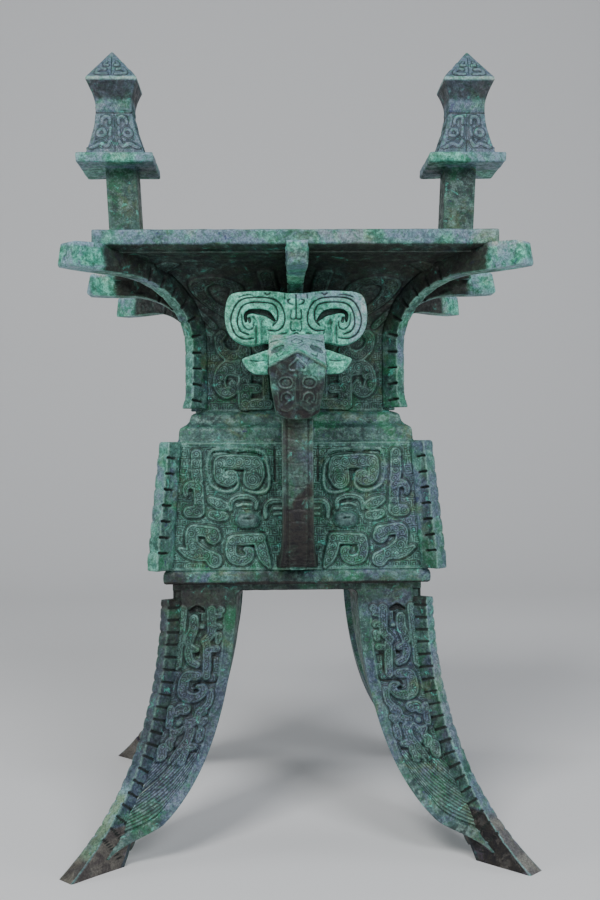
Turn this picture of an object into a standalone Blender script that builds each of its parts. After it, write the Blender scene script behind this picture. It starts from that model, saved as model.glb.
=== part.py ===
"""Bronze fang jia: a square wine vessel of the late Shang, cast in one piece.

Units are metres, +Z is up, the floor is z = 0 and the handle faces -Y.
The vessel is one closed solid. Its parts are modelled one by one and joined by one Boolean.
"""

import math

import bmesh
import bpy
from mathutils import Matrix, Vector
from mathutils.geometry import tessellate_polygon

# Heights, from the floor up
LEG_HEIGHT = 0.2025
RECESS_HEIGHT = 0.0059
BAND_HEIGHT = 0.0109
BELLY_HEIGHT = 0.1014
SHOULDER_HEIGHT = 0.0253
NECK_HEIGHT = 0.1230
RIM_HEIGHT = 0.0120
STEM_HEIGHT = 0.0797
PLATE_HEIGHT = 0.0086
CAP_HEIGHT = 0.0957

# Half width of the square body at the belly's foot, and the steps that follow from it
BODY_HALF = 0.1050
BAND_STEP = 0.0012
RECESS_DEPTH = 0.0069
BELLY_TAPER = 0.0070
SHOULDER_STEP = 0.0018
SHOULDER_TAPER = 0.0012
NECK_STEP = 0.0210
NECK_ROLL = 0.0085
NECK_ROLL_DROP = 0.0030
RIM_STEP = 0.0103
RIM_CHAMFER = 0.0030
RIM_ROUND = 0.0008

# The wall of the casting
WALL = 0.0042
FLOOR = 0.0060
LIP = 0.0090
LIP_SEAT = 0.0015
FLARE_RADIUS = 0.0660
FLARE_DROP = 0.0040
FLARE_STEPS = 7

# Flanges: how far they stand out, how thick they are, and their slots
FLANGE_THICK = 0.0125
NECK_FLANGE_THICK = 0.0100
TIP_THICK = 0.0165
CORNER_OUT = 0.0096
CORNER_FOOT_OUT = 0.0139
BELLY_FLANGE_OUT = 0.0110
NECK_FLANGE_OUT = 0.0095
NECK_CORNER_OUT = 0.0124
NECK_HOOK_OUT = 0.0035
NECK_HOOK_HEIGHT = 0.0120
TIP_BELOW_RIM = 0.0195
TIP_RISE = 0.0010
TIP_BATTER = 0.0020
TIP_ROUND = 0.0010
TIP_RUN = 0.0380
CORNER_TIP_OUT = 0.0258
FACE_TIP_OUT = 0.0267
NECK_FLANGE_LIFT = 0.0025
FLANGE_END = 0.0009
SLOT_PITCH = 0.0127
SLOT_START = 0.0076
BELLY_SLOT_START = 0.0127
SLOT_HALF = 0.0012
SLOT_DEPTH = 0.0020
ROOT = 0.0022

# Legs
LEG_FACE = 0.0500
LEG_INSET = 0.0003
LEG_SPLAY = 0.0715
LEG_FLANGE_OUT = 0.0042
FOOT_FLANGE_OUT = 0.0035
LEG_FLANGE_DEPTH = 0.0120
LEG_FLANGE_DROP = 0.0060
LEG_SLOT_PITCH = 0.0136
LEG_SLOT_START = 0.0082
LEG_FILLET = 0.0045
LEG_RIDGE_FILLET = 0.0110
LEG_RIDGE_TOP = -0.0030
LEG_RIDGE_TAPER = 0.0180
LEG_RINGS = 9
FOOT_THICK = 0.0165
FOOT_LENGTH = 0.0340
FACE_END = 0.0095

# Posts
POST_INSET = 0.0093
POST_ROOT = 0.0060
STEM_WIDE = 0.0265
STEM_DEEP = 0.0320
POST_PLATE = 0.0665
POST_LEAN = math.radians(3.0)
CAP_SHIFT = 0.0030
CAP_FOOT = 0.0510
CAP_WAIST = 0.0310
CAP_EAVE = 0.0440
CAP_POINT = 0.0012
CAP_WAIST_SHARE = 0.46
CAP_EAVE_SHARE = 0.68
CAP_EAVE_EDGE_SHARE = 0.705

# Handle
STRAP_WIDE = 0.0240
STRAP_FOOT_WIDE = 0.0330
STRAP_THICK = 0.0100
STRAP_GAP = 0.0300
STRAP_BEND = 0.0400
STRAP_RISE = 0.0020
STRAP_PITCH = 0.0090
STRAP_SLOT_START = 0.0108
MUZZLE_REACH = 0.0210
MUZZLE_EYE = 0.0042
MUZZLE_NOSTRIL = 0.0036
MUZZLE_RELIEF = 0.0052
HEAD_HALF = 0.0215
HEAD_HEIGHT = 0.0665
HEAD_DEPTH = 0.0420
HEAD_DROP = 0.0085
HORN_SPAN = 0.1100
HORN_HEIGHT = 0.0420
HORN_SEAT = 0.0085
HORN_SETBACK = 0.0360
HORN_THICK = 0.0120
HORN_BAND = 0.0022
EAR_HEIGHT = 0.0200
EAR_THICK = 0.0070
EAR_SETBACK = 0.0040

# Raised ornament
RELIEF = 0.0026
SIDE_RELIEF = 0.0022
EYE_HEIGHT = 0.0065
RELIEF_ROOT = 0.0018
MASK_MARGIN = 0.0020

# Half widths that follow from the body's
BELLY_FOOT_HALF = BODY_HALF
BELLY_TOP_HALF = BODY_HALF - BELLY_TAPER
BAND_HALF = BODY_HALF + BAND_STEP
RECESS_HALF = BAND_HALF - RECESS_DEPTH
SHOULDER_FOOT_HALF = BELLY_TOP_HALF - SHOULDER_STEP
SHOULDER_HALF = SHOULDER_FOOT_HALF - SHOULDER_TAPER
NECK_HALF = BELLY_TOP_HALF - NECK_STEP
RIM_HALF = NECK_HALF + FLARE_RADIUS + RIM_STEP
MASK_HALF = BELLY_TOP_HALF + MASK_MARGIN
LEG_CORNER = RECESS_HALF - LEG_INSET
POST_X = RIM_HALF - POST_INSET
STRAP_REACH = BODY_HALF + STRAP_GAP + STRAP_THICK
BROW_REACH = STRAP_REACH + MUZZLE_REACH

# Levels that follow from the heights
BAND_Z = LEG_HEIGHT + RECESS_HEIGHT
BELLY_Z = BAND_Z + BAND_HEIGHT
SHOULDER_Z = BELLY_Z + BELLY_HEIGHT
NECK_Z = SHOULDER_Z + SHOULDER_HEIGHT
RIM_Z = NECK_Z + NECK_HEIGHT
RIM_TOP = RIM_Z + RIM_HEIGHT
FLARE_Z = RIM_Z - FLARE_DROP - FLARE_RADIUS
DIAGONAL = math.sqrt(2.0)

# The quarter turn that faces the handle, counted from +X
FRONT = 3


def clear_scene():
    """Take every object out of the open file."""
    for obj in list(bpy.data.objects):
        bpy.data.objects.remove(obj, do_unlink=True)


def bronze():
    """Green patinated bronze."""
    material = bpy.data.materials.new("bronze")
    material.use_nodes = True
    shader = material.node_tree.nodes["Principled BSDF"]
    shader.inputs["Base Color"].default_value = (0.085, 0.235, 0.185, 1.0)
    shader.inputs["Roughness"].default_value = 0.62
    shader.inputs["Metallic"].default_value = 0.35
    return material


def as_object(name, bm, matrix=None):
    """Close a bmesh into an object with outward faces."""
    bmesh.ops.recalc_face_normals(bm, faces=bm.faces)
    mesh = bpy.data.meshes.new(name)
    bm.to_mesh(mesh)
    bm.free()
    obj = bpy.data.objects.new(name, mesh)
    if matrix is not None:
        mesh.transform(matrix)
        mesh.update()
    return obj


def ring_loft(rings):
    """A closed bmesh through rings that all have the same number of points."""
    bm = bmesh.new()
    made = [[bm.verts.new(point) for point in ring] for ring in rings]
    count = len(rings[0])
    for lower, upper in zip(made, made[1:]):
        for i in range(count):
            j = (i + 1) % count
            bm.faces.new((lower[i], lower[j], upper[j], upper[i]))
    bm.faces.new(list(reversed(made[0])))
    bm.faces.new(made[-1])
    return bm


def turned(quarter):
    """A quarter turn about the vertical axis, counted from +X."""
    return Matrix.Rotation(quarter * math.pi / 2, 4, "Z")


def polar(centre, radius, degrees):
    """A point on a circle in a plane."""
    angle = math.radians(degrees)
    return (centre[0] + radius * math.cos(angle), centre[1] + radius * math.sin(angle))


# The hollow body

def flare(radius, steps):
    """The arc from the upright neck wall out to the rim, as (half width, z)."""
    centre = (NECK_HALF + FLARE_RADIUS, FLARE_Z)
    return [polar(centre, radius, 180 - 90 * k / steps) for k in range(steps + 1)]


def body():
    """The square vessel, open at the mouth, with walls of even thickness."""
    outside = [
        (RECESS_HALF, LEG_HEIGHT),
        (RECESS_HALF, BAND_Z),
        (BAND_HALF, BAND_Z),
        (BAND_HALF, BELLY_Z),
        (BELLY_FOOT_HALF, BELLY_Z),
        (BELLY_TOP_HALF, SHOULDER_Z),
        (SHOULDER_FOOT_HALF, SHOULDER_Z),
        (SHOULDER_HALF, SHOULDER_Z + 0.45 * SHOULDER_HEIGHT),
        (NECK_HALF + NECK_ROLL, NECK_Z - NECK_ROLL_DROP),
        (NECK_HALF, NECK_Z),
    ]
    outside += flare(FLARE_RADIUS, FLARE_STEPS)
    outside += [(RIM_HALF - RIM_CHAMFER, RIM_Z), (RIM_HALF, RIM_Z + RIM_ROUND), (RIM_HALF, RIM_TOP)]
    inside = [(RIM_HALF - LIP, RIM_TOP), (RIM_HALF - LIP, RIM_Z + LIP_SEAT)]
    inside += list(reversed(flare(FLARE_RADIUS + WALL, FLARE_STEPS)))
    inside += [
        (NECK_HALF - WALL, NECK_Z - 0.5 * WALL),
        (BELLY_TOP_HALF - WALL, SHOULDER_Z - WALL),
        (BELLY_FOOT_HALF - WALL, LEG_HEIGHT + FLOOR),
    ]
    rings = []
    for half, z in outside + inside:
        rings.append([(half, half, z), (-half, half, z), (-half, -half, z), (half, -half, z)])
    return as_object("body", ring_loft(rings))


# Flanges: flat ribs with slots across them

def point_at(pairs, lengths, s):
    """Outer point, inner point and thickness at the length s along a rib."""
    for k in range(len(pairs) - 1):
        if s <= lengths[k + 1] or k == len(pairs) - 2:
            span = lengths[k + 1] - lengths[k]
            share = 0.0 if span == 0 else (s - lengths[k]) / span
            (outer_a, inner_a, thick_a), (outer_b, inner_b, thick_b) = pairs[k], pairs[k + 1]
            outer = Vector(outer_a).lerp(Vector(outer_b), share)
            inner = Vector(inner_a).lerp(Vector(inner_b), share)
            return outer, inner, thick_a + (thick_b - thick_a) * share


def rib(name, pairs, matrix, slots, pitch=SLOT_PITCH, start=SLOT_START, extra=()):
    """A rib in the plane of +X and +Z, turned into place.

    pairs holds (outer point, inner point, thickness) along the rib. The first slot lies at
    start, and extra lists the shares of the length that get a section of their own.
    """
    lengths = [0.0]
    for (outer_a, _, _), (outer_b, _, _) in zip(pairs, pairs[1:]):
        lengths.append(lengths[-1] + (Vector(outer_b) - Vector(outer_a)).length)
    total = lengths[-1]
    stations = {0.0: 0.0, total: 0.0}
    for share in extra:
        stations[share * total] = 0.0
    for k in range(slots):
        s = start + k * pitch
        if s + SLOT_HALF >= total:
            break
        for near in [t for t in stations if 0.0 < t < total and abs(t - s) < 2 * SLOT_HALF]:
            del stations[near]
        stations[s - SLOT_HALF] = 0.0
        stations[s] = SLOT_DEPTH
        stations[s + SLOT_HALF] = 0.0
    rings = []
    for s in sorted(stations):
        outer, inner, thick = point_at(pairs, lengths, s)
        depth = stations[s]
        outer = outer + (inner - outer).normalized() * (0.7 * depth)
        half = thick / 2 - 0.7 * depth
        rings.append([
            (inner.x, half, inner.y),
            (outer.x, half, outer.y),
            (outer.x, -half, outer.y),
            (inner.x, -half, inner.y),
        ])
    return as_object(name, ring_loft(rings), matrix)


def neck_rib(reach, tip, stretch, thick):
    """The run of a neck flange: up the wall, out under the flare and on to its tip.

    stretch is 1 for the ribs in mid face and the square root of 2 for those on the corners.
    """
    low = NECK_Z + NECK_FLANGE_LIFT
    straight = low + NECK_HOOK_HEIGHT
    wall = (NECK_HALF - ROOT) * stretch
    out = reach + NECK_HALF * stretch
    pairs = [
        ((out + NECK_HOOK_OUT, low), (wall, low), thick),
        ((out, straight), (wall, straight), thick),
        ((out, FLARE_Z), (wall, FLARE_Z), thick),
    ]
    tip_x = RIM_HALF * stretch + tip
    run = tip_x - TIP_RUN * stretch - out
    under = RIM_Z - TIP_BELOW_RIM
    for k in range(1, 7):
        angle = math.radians(15 * k)
        outer = (out + run * (1 - math.cos(angle)), FLARE_Z + (under - FLARE_Z) * math.sin(angle))
        radius = FLARE_RADIUS + ROOT
        inner = (
            (NECK_HALF + FLARE_RADIUS - radius * math.cos(angle)) * stretch,
            FLARE_Z + radius * math.sin(angle),
        )
        pairs.append((outer, inner, thick + (TIP_THICK - thick) * k / 9))
    top = RIM_Z + TIP_RISE
    tip_low = (tip_x - TIP_ROUND, under + TIP_ROUND)
    tip_high = (tip_x - TIP_ROUND - TIP_BATTER, top)
    pairs.append((tip_low, tip_high, TIP_THICK))
    return pairs


def neck_flanges():
    """Eight flanges on the neck, on its corners and in the middle of its faces."""
    made = []
    corner = neck_rib(NECK_CORNER_OUT, CORNER_TIP_OUT, DIAGONAL, NECK_FLANGE_THICK)
    middle = neck_rib(NECK_FLANGE_OUT, FACE_TIP_OUT, 1.0, NECK_FLANGE_THICK)
    for quarter in range(4):
        turn = turned(quarter)
        half_turn = turn @ Matrix.Rotation(math.pi / 4, 4, "Z")
        made.append(rib(f"neck_corner_{quarter}", corner, half_turn, 7, extra=(0.60, 0.80)))
        made.append(rib(f"neck_middle_{quarter}", middle, turn, 5, extra=(0.45, 0.58, 0.80)))
    return made


def belly_flanges():
    """Four corner flanges, and three in mid face where the handle isn't."""
    made = []
    top = SHOULDER_Z + FLANGE_END
    low = BELLY_Z + FLANGE_END
    top_wall = BELLY_TOP_HALF - ROOT
    low_wall = BELLY_FOOT_HALF - ROOT
    top_corner = BELLY_TOP_HALF * DIAGONAL + CORNER_OUT
    low_corner = BELLY_FOOT_HALF * DIAGONAL + CORNER_FOOT_OUT
    corner = [
        ((top_corner, top), (top_wall * DIAGONAL, top), FLANGE_THICK),
        ((low_corner, low), (low_wall * DIAGONAL, low), FLANGE_THICK),
    ]
    middle = [
        ((BELLY_TOP_HALF + BELLY_FLANGE_OUT, top), (top_wall, top), FLANGE_THICK),
        ((BELLY_FOOT_HALF + BELLY_FLANGE_OUT, low), (low_wall, low), FLANGE_THICK),
    ]
    for quarter in range(4):
        turn = turned(quarter)
        half_turn = turn @ Matrix.Rotation(math.pi / 4, 4, "Z")
        made.append(rib(f"belly_corner_{quarter}", corner, half_turn, 7, start=BELLY_SLOT_START))
        if quarter != FRONT:
            made.append(rib(f"belly_middle_{quarter}", middle, turn, 7, start=BELLY_SLOT_START))
    return made


# Legs

def splay(t):
    """How far the leg has moved out at the share t of its way down."""
    return LEG_SPLAY * (0.705 * t**2 + 0.295 * t**6)


def leg_corner(z):
    """Where the leg's outer corner stands at the height z, along X and along Y alike."""
    return LEG_CORNER + splay(1 - z / LEG_HEIGHT)


def fillet(z, radius):
    """How much a rounded root adds to the leg just under the vessel."""
    near = max(0.0, radius - (LEG_HEIGHT - z))
    return near**2 / radius


def leg_inner(z):
    """Where the leg's inner edge stands at the height z."""
    t = 1 - z / LEG_HEIGHT
    return leg_corner(z) - LEG_FACE * (1 - 0.08 * t**2 - 0.56 * t**8) - fillet(z, LEG_FILLET)


def leg_ridge(z):
    """Where the ridge between the leg's two hidden faces stands at the height z."""
    t = 1 - z / LEG_HEIGHT
    return leg_inner(z) + LEG_RIDGE_TOP + LEG_RIDGE_TAPER * t**2 - fillet(z, LEG_RIDGE_FILLET)


def leg_body():
    """The rings of one leg: a square section that slides out towards its foot."""
    rings = []
    top = LEG_HEIGHT - LEG_RIDGE_FILLET
    heights = [LEG_HEIGHT + 0.5 * FLOOR]
    heights += [LEG_HEIGHT - share * LEG_RIDGE_FILLET for share in (0.25, 0.6)]
    for k in range(LEG_RINGS):
        share = k / (LEG_RINGS - 1)
        heights.append(top - share**0.85 * (top - 1.5 * FACE_END))
    for z in heights:
        level = min(z, LEG_HEIGHT)
        corner = leg_corner(level)
        inner = leg_inner(level)
        ridge = leg_ridge(level)
        rings.append([(corner, corner, z), (inner, corner, z), (ridge, ridge, z), (corner, inner, z)])
    corner = leg_corner(FACE_END)
    inner = corner - FOOT_THICK
    ridge = corner - 0.6 * LEG_FACE
    rings.append([
        (corner, corner, FACE_END),
        (inner, corner, FACE_END),
        (ridge, ridge, 0.75 * FACE_END),
        (corner, inner, FACE_END),
    ])
    return rings


def leg_rib():
    """The flange down the leg's outer corner, which ends as the foot."""
    pairs = []
    steps = 18
    top = LEG_HEIGHT - LEG_FLANGE_DROP
    spread = FOOT_LENGTH - LEG_FLANGE_DEPTH
    for k in range(steps + 1):
        z = top * (1 - (k / steps) ** 0.9)
        t = 1 - z / LEG_HEIGHT
        outer = leg_corner(z) + LEG_FLANGE_OUT * (1 - t) + FOOT_FLANGE_OUT * t
        depth = LEG_FLANGE_DEPTH + spread * max(0.0, (t - 0.80) / 0.20)
        thick = FLANGE_THICK + (FOOT_THICK - FLANGE_THICK) * t**2
        pairs.append(((outer * DIAGONAL, z), ((outer - depth) * DIAGONAL, z), thick))
    return pairs


def legs():
    """Four legs with their flanges."""
    made = []
    for quarter in range(4):
        turn = turned(quarter)
        half_turn = turn @ Matrix.Rotation(math.pi / 4, 4, "Z")
        made.append(as_object(f"leg_{quarter}", ring_loft(leg_body()), turn))
        flange = rib(
            f"leg_flange_{quarter}",
            leg_rib(),
            half_turn,
            15,
            pitch=LEG_SLOT_PITCH,
            start=LEG_SLOT_START,
            extra=(0.94,),
        )
        made.append(flange)
    return made


# Posts

def post(side):
    """One capped post on the rim: stem, square plate and roof-shaped cap."""
    plate_z = RIM_TOP + STEM_HEIGHT
    x = STEM_WIDE / 2
    y = STEM_DEEP / 2
    stem = []
    for z in (RIM_Z - POST_ROOT, plate_z + 0.5 * PLATE_HEIGHT):
        stem.append([(x, y, z), (-x, y, z), (-x, -y, z), (x, -y, z)])
    cap_z = plate_z + PLATE_HEIGHT
    levels = [(POST_PLATE, plate_z), (POST_PLATE, cap_z)]
    for k in range(5):
        share = k / 4
        wide = CAP_FOOT + (CAP_WAIST - CAP_FOOT) * math.sin(share * math.pi / 2)
        levels.append((wide, cap_z + share * CAP_WAIST_SHARE * CAP_HEIGHT))
    for k in range(1, 4):
        share = k / 3
        wide = CAP_WAIST + (CAP_EAVE - CAP_WAIST) * share**1.7
        rise = CAP_WAIST_SHARE + (CAP_EAVE_SHARE - CAP_WAIST_SHARE) * share
        levels.append((wide, cap_z + rise * CAP_HEIGHT))
    levels.append((CAP_EAVE, cap_z + CAP_EAVE_EDGE_SHARE * CAP_HEIGHT))
    levels.append((CAP_POINT, cap_z + CAP_HEIGHT))
    head = []
    for wide, z in levels:
        half = wide / 2
        head.append([(half, half, z), (-half, half, z), (-half, -half, z), (half, -half, z)])
    lean = Matrix.Identity(4)
    lean[0][2] = side * math.tan(POST_LEAN)
    lean[0][3] = -side * math.tan(POST_LEAN) * RIM_TOP
    shift = Matrix.Translation((side * CAP_SHIFT, 0.0, 0.0))
    place = Matrix.Translation((side * POST_X, 0.0, 0.0))
    name = "left" if side < 0 else "right"
    return [
        as_object(f"{name}_stem", ring_loft(stem), place @ lean),
        as_object(f"{name}_cap", ring_loft(head), place @ lean @ shift),
    ]


# Raised plates on a surface

def outline_of(path, wide, ends=0.35):
    """The outline of a band of even width along a path, with its ends drawn in a little."""
    left = []
    right = []
    count = len(path)
    for k, point in enumerate(path):
        here = Vector(point)
        before = Vector(path[max(k - 1, 0)])
        after = Vector(path[min(k + 1, count - 1)])
        way_in = (here - before).normalized() if k > 0 else (after - here).normalized()
        way_out = (after - here).normalized() if k < count - 1 else way_in
        across = Vector((-(way_in + way_out).y, (way_in + way_out).x)).normalized()
        mitre = max(0.55, across.dot(Vector((-way_in.y, way_in.x))))
        half = wide / 2 * (ends * 2 if k in (0, count - 1) else 1.0)
        left.append(here + across * (half / mitre))
        right.append(here - across * (half / mitre))
    return left + list(reversed(right))


def oval(centre, half_u, half_v, points=8):
    """An oval outline."""
    made = []
    for k in range(points):
        angle = 2 * math.pi * k / points
        made.append(Vector((centre[0] + half_u * math.cos(angle), centre[1] + half_v * math.sin(angle))))
    return made


def plate(name, outline, surface, height, shrink=1.0):
    """A raised plate: an outline in surface coordinates, lifted off the surface by height."""
    bm = bmesh.new()
    flat = [Vector((p[0], p[1], 0.0)) for p in outline]
    middle = sum(flat, Vector()) / len(flat)
    low = [bm.verts.new(surface(p.x, p.y, -RELIEF_ROOT)) for p in flat]
    tops = [middle + (p - middle) * shrink for p in flat]
    high = [bm.verts.new(surface(p.x, p.y, height)) for p in tops]
    for a, b, c in tessellate_polygon([flat]):
        bm.faces.new((high[a], high[b], high[c]))
        bm.faces.new((low[c], low[b], low[a]))
    count = len(flat)
    for i in range(count):
        j = (i + 1) % count
        bm.faces.new((low[i], low[j], high[j], high[i]))
    return as_object(name, bm)


def belly_surface(quarter, mirror):
    """Maps the belly face: u runs from the middle to the corner, v from foot to shoulder."""
    turn = turned(quarter) @ Matrix.Rotation(math.pi / 2, 4, "Z")
    low = Vector((0.0, -BELLY_FOOT_HALF, BELLY_Z))
    rise = Vector((0.0, BELLY_FOOT_HALF - BELLY_TOP_HALF, BELLY_HEIGHT))
    out = Vector((0.0, -rise.z, rise.y)).normalized()

    def place(u, v, n):
        across = Vector((mirror * u * MASK_HALF, 0.0, 0.0))
        return turn @ (low + rise * v + across + out * n)

    return place


def neck_surface(quarter, mirror):
    """Maps the upright part of the neck face: u as on the belly, v from its foot to the flare."""
    turn = turned(quarter) @ Matrix.Rotation(math.pi / 2, 4, "Z")

    def place(u, v, n):
        z = NECK_Z + v * (FLARE_Z - NECK_Z)
        return turn @ Vector((mirror * u * NECK_HALF, -NECK_HALF - n, z))

    return place


def leg_surface(quarter, side):
    """Maps one outer face of a leg: u from its inner edge to its corner, v from foot to top."""
    turn = turned(quarter)

    def place(u, v, n):
        z = v * LEG_HEIGHT
        corner = leg_corner(z)
        along = leg_inner(z) + u * (corner - leg_inner(z))
        step = 0.01 * LEG_HEIGHT
        lean = (leg_corner(z - step) - leg_corner(z + step)) / (2 * step)
        scale = math.hypot(1.0, lean)
        point = Vector((along, corner + n / scale, z + n * lean / scale))
        if side < 0:
            point = Vector((point.y, point.x, point.z))
        return turn @ point

    return place


MASK_HORN = [
    (0.38, 0.650),
    (0.29, 0.720),
    (0.31, 0.840),
    (0.60, 0.860),
    (0.65, 0.720),
    (0.54, 0.660),
    (0.50, 0.730),
]
MASK_BAR = [(0.785, 0.94), (0.785, 0.46), (0.875, 0.46), (0.875, 0.52)]
MASK_HOOK = [(0.80, 0.65), (0.875, 0.64), (0.88, 0.59)]
MASK_LID = [(0.32, 0.50), (0.36, 0.58), (0.50, 0.58), (0.54, 0.50)]
MASK_EAR = [(0.545, 0.43), (0.56, 0.52), (0.70, 0.58), (0.70, 0.46), (0.66, 0.395), (0.58, 0.395)]
MASK_BODY = [(0.66, 0.25), (0.68, 0.335), (0.87, 0.335), (0.86, 0.20), (0.65, 0.09)]
MASK_TAIL = [(0.70, 0.075), (0.84, 0.10), (0.93, 0.17)]
MASK_JAW = [(0.22, 0.03), (0.29, 0.245), (0.53, 0.25), (0.53, 0.07), (0.42, 0.07), (0.40, 0.14)]
MASK_EYE = (0.392, 0.395)


def belly_masks():
    """An animal mask on each belly face, fullest on the front."""
    made = []
    for quarter in range(4):
        front = quarter == FRONT
        height = RELIEF if front else SIDE_RELIEF
        for mirror in (-1, 1):
            surface = belly_surface(quarter, mirror)
            tag = f"mask_{quarter}_{mirror + 1}"
            made.append(plate(f"{tag}_horn", outline_of(MASK_HORN, 0.085), surface, height))
            made.append(plate(f"{tag}_bar", outline_of(MASK_BAR, 0.080, 0.5), surface, height))
            made.append(plate(f"{tag}_jaw", outline_of(MASK_JAW, 0.075), surface, height))
            made.append(plate(f"{tag}_eye", oval(MASK_EYE, 0.100, 0.078), surface, EYE_HEIGHT, 0.60))
            if front:
                made.append(plate(f"{tag}_body", outline_of(MASK_BODY, 0.075), surface, height))
                made.append(plate(f"{tag}_lid", outline_of(MASK_LID, 0.045), surface, height))
                made.append(plate(f"{tag}_ear", MASK_EAR, surface, height))
                made.append(plate(f"{tag}_hook", outline_of(MASK_HOOK, 0.050), surface, height))
                made.append(plate(f"{tag}_tail", outline_of(MASK_TAIL, 0.050), surface, height))
    return made


NECK_CURL = [(0.59, 0.72), (0.82, 0.72), (0.85, 0.26), (0.67, 0.24), (0.66, 0.44)]
NECK_SPINE = [(0.53, 0.86), (0.53, 0.14), (0.30, 0.14)]
NECK_ARM = [(0.54, 0.52), (0.30, 0.50)]


def neck_dragons():
    """Two facing dragons in square scrolls on each neck face."""
    made = []
    for quarter in range(4):
        for mirror in (-1, 1):
            surface = neck_surface(quarter, mirror)
            tag = f"dragon_{quarter}_{mirror + 1}"
            made.append(plate(f"{tag}_curl", outline_of(NECK_CURL, 0.085), surface, SIDE_RELIEF))
            made.append(plate(f"{tag}_spine", outline_of(NECK_SPINE, 0.085, 0.5), surface, SIDE_RELIEF))
            if quarter == FRONT:
                made.append(plate(f"{tag}_arm", outline_of(NECK_ARM, 0.075), surface, SIDE_RELIEF))
    return made


LEG_CREST = [(0.24, 0.93), (0.42, 0.90), (0.34, 0.77)]
LEG_BACK = [(0.22, 0.70), (0.28, 0.59), (0.66, 0.62), (0.70, 0.50), (0.38, 0.49)]
LEG_JAW = [(0.36, 0.425), (0.66, 0.39), (0.66, 0.29)]
LEG_FEATHER = [(0.18, 0.34), (0.46, 0.250), (0.78, 0.120)]


def on_front(quarter, side):
    """True for the two leg faces that look the same way as the handle."""
    facing = turned(quarter) @ (Vector((0.0, 1.0, 0.0)) if side > 0 else Vector((1.0, 0.0, 0.0)))
    return facing.y < -0.5


def leg_dragons():
    """A hanging dragon with feathers below it on each outer face of a leg."""
    made = []
    for quarter in range(4):
        for side in (-1, 1):
            surface = leg_surface(quarter, side)
            tag = f"leg_{quarter}_{side + 1}"
            made.append(plate(f"{tag}_back", outline_of(LEG_BACK, 0.060), surface, SIDE_RELIEF))
            if on_front(quarter, side):
                made.append(plate(f"{tag}_crest", outline_of(LEG_CREST, 0.10), surface, SIDE_RELIEF))
                made.append(plate(f"{tag}_jaw", outline_of(LEG_JAW, 0.055), surface, SIDE_RELIEF))
            made.append(plate(f"{tag}_feather", outline_of(LEG_FEATHER, 0.050), surface, SIDE_RELIEF))
    return made


# Handle

def strap():
    """The strap of the handle, from the animal's chin down and back into the belly."""
    top = NECK_Z + STRAP_RISE
    bend = BELLY_Z + STRAP_RISE + STRAP_BEND
    inner_reach = STRAP_REACH - STRAP_THICK
    pairs = []
    for z in (top, bend):
        pairs.append(((STRAP_REACH, z), (inner_reach, z), STRAP_WIDE))
    centre_x = STRAP_REACH - STRAP_BEND
    steps = 6
    for k in range(1, steps + 1):
        angle = math.radians(90 * k / steps)
        outer = (centre_x + STRAP_BEND * math.cos(angle), bend - STRAP_BEND * math.sin(angle))
        small = STRAP_BEND - STRAP_THICK
        inner = (centre_x + small * math.cos(angle), bend - small * math.sin(angle))
        wide = STRAP_WIDE + (STRAP_FOOT_WIDE - STRAP_WIDE) * (k / steps) ** 2
        pairs.append((outer, inner, wide))
    foot = BELLY_FOOT_HALF - ROOT
    foot_z = bend - STRAP_BEND
    pairs.append(((foot, foot_z), (foot, foot_z + STRAP_THICK), STRAP_FOOT_WIDE))
    return rib("strap", pairs, turned(FRONT), 12, pitch=STRAP_PITCH, start=STRAP_SLOT_START)


def hull(name, points):
    """The convex solid around a set of points."""
    bm = bmesh.new()
    for point in points:
        bm.verts.new(point)
    made = bmesh.ops.convex_hull(bm, input=bm.verts)
    spare = [v for v in made["geom_interior"] if isinstance(v, bmesh.types.BMVert)]
    bmesh.ops.delete(bm, geom=spare, context="VERTS")
    return as_object(name, bm)


def head():
    """The animal's head over the strap: brow, muzzle and the neck that carries it."""
    low = NECK_Z - HEAD_DROP
    root_y = -(NECK_HALF - ROOT)

    def at(side, half, back, rise):
        return (side * half * HEAD_HALF, back * HEAD_DEPTH - BROW_REACH, low + rise * HEAD_HEIGHT)

    points = [at(0, 0, 0.0, 0.83), at(0, 0, 0.26, 0.0), at(0, 0, 0.83, 1.0)]
    for side in (-1, 1):
        points += [
            at(side, 1.0, 0.19, 0.66),
            at(side, 0.76, 0.33, 0.083),
            at(side, 1.0, 0.81, 1.0),
            at(side, 0.75, 0.95, 0.045),
            (side * 0.75 * HEAD_HALF, root_y, low + 0.18 * HEAD_HEIGHT),
            (side * 0.75 * HEAD_HALF, root_y, low + 0.91 * HEAD_HEIGHT),
        ]
    made = [hull("head", points)]
    for side in (-1, 1):
        def face(u, v, n, side=side):
            back = (0.25 - 0.215 * v) * HEAD_DEPTH
            return Vector((side * u * HEAD_HALF, back - BROW_REACH - n, low + v * HEAD_HEIGHT))

        for part, u, v, radius in (("eye", 0.43, 0.50, MUZZLE_EYE), ("nostril", 0.36, 0.165, MUZZLE_NOSTRIL)):
            ring = oval((u, v), radius / HEAD_HALF, radius / HEAD_HEIGHT)
            made.append(plate(f"muzzle_{part}_{side + 1}", ring, face, MUZZLE_RELIEF, 0.7))
    return made


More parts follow.
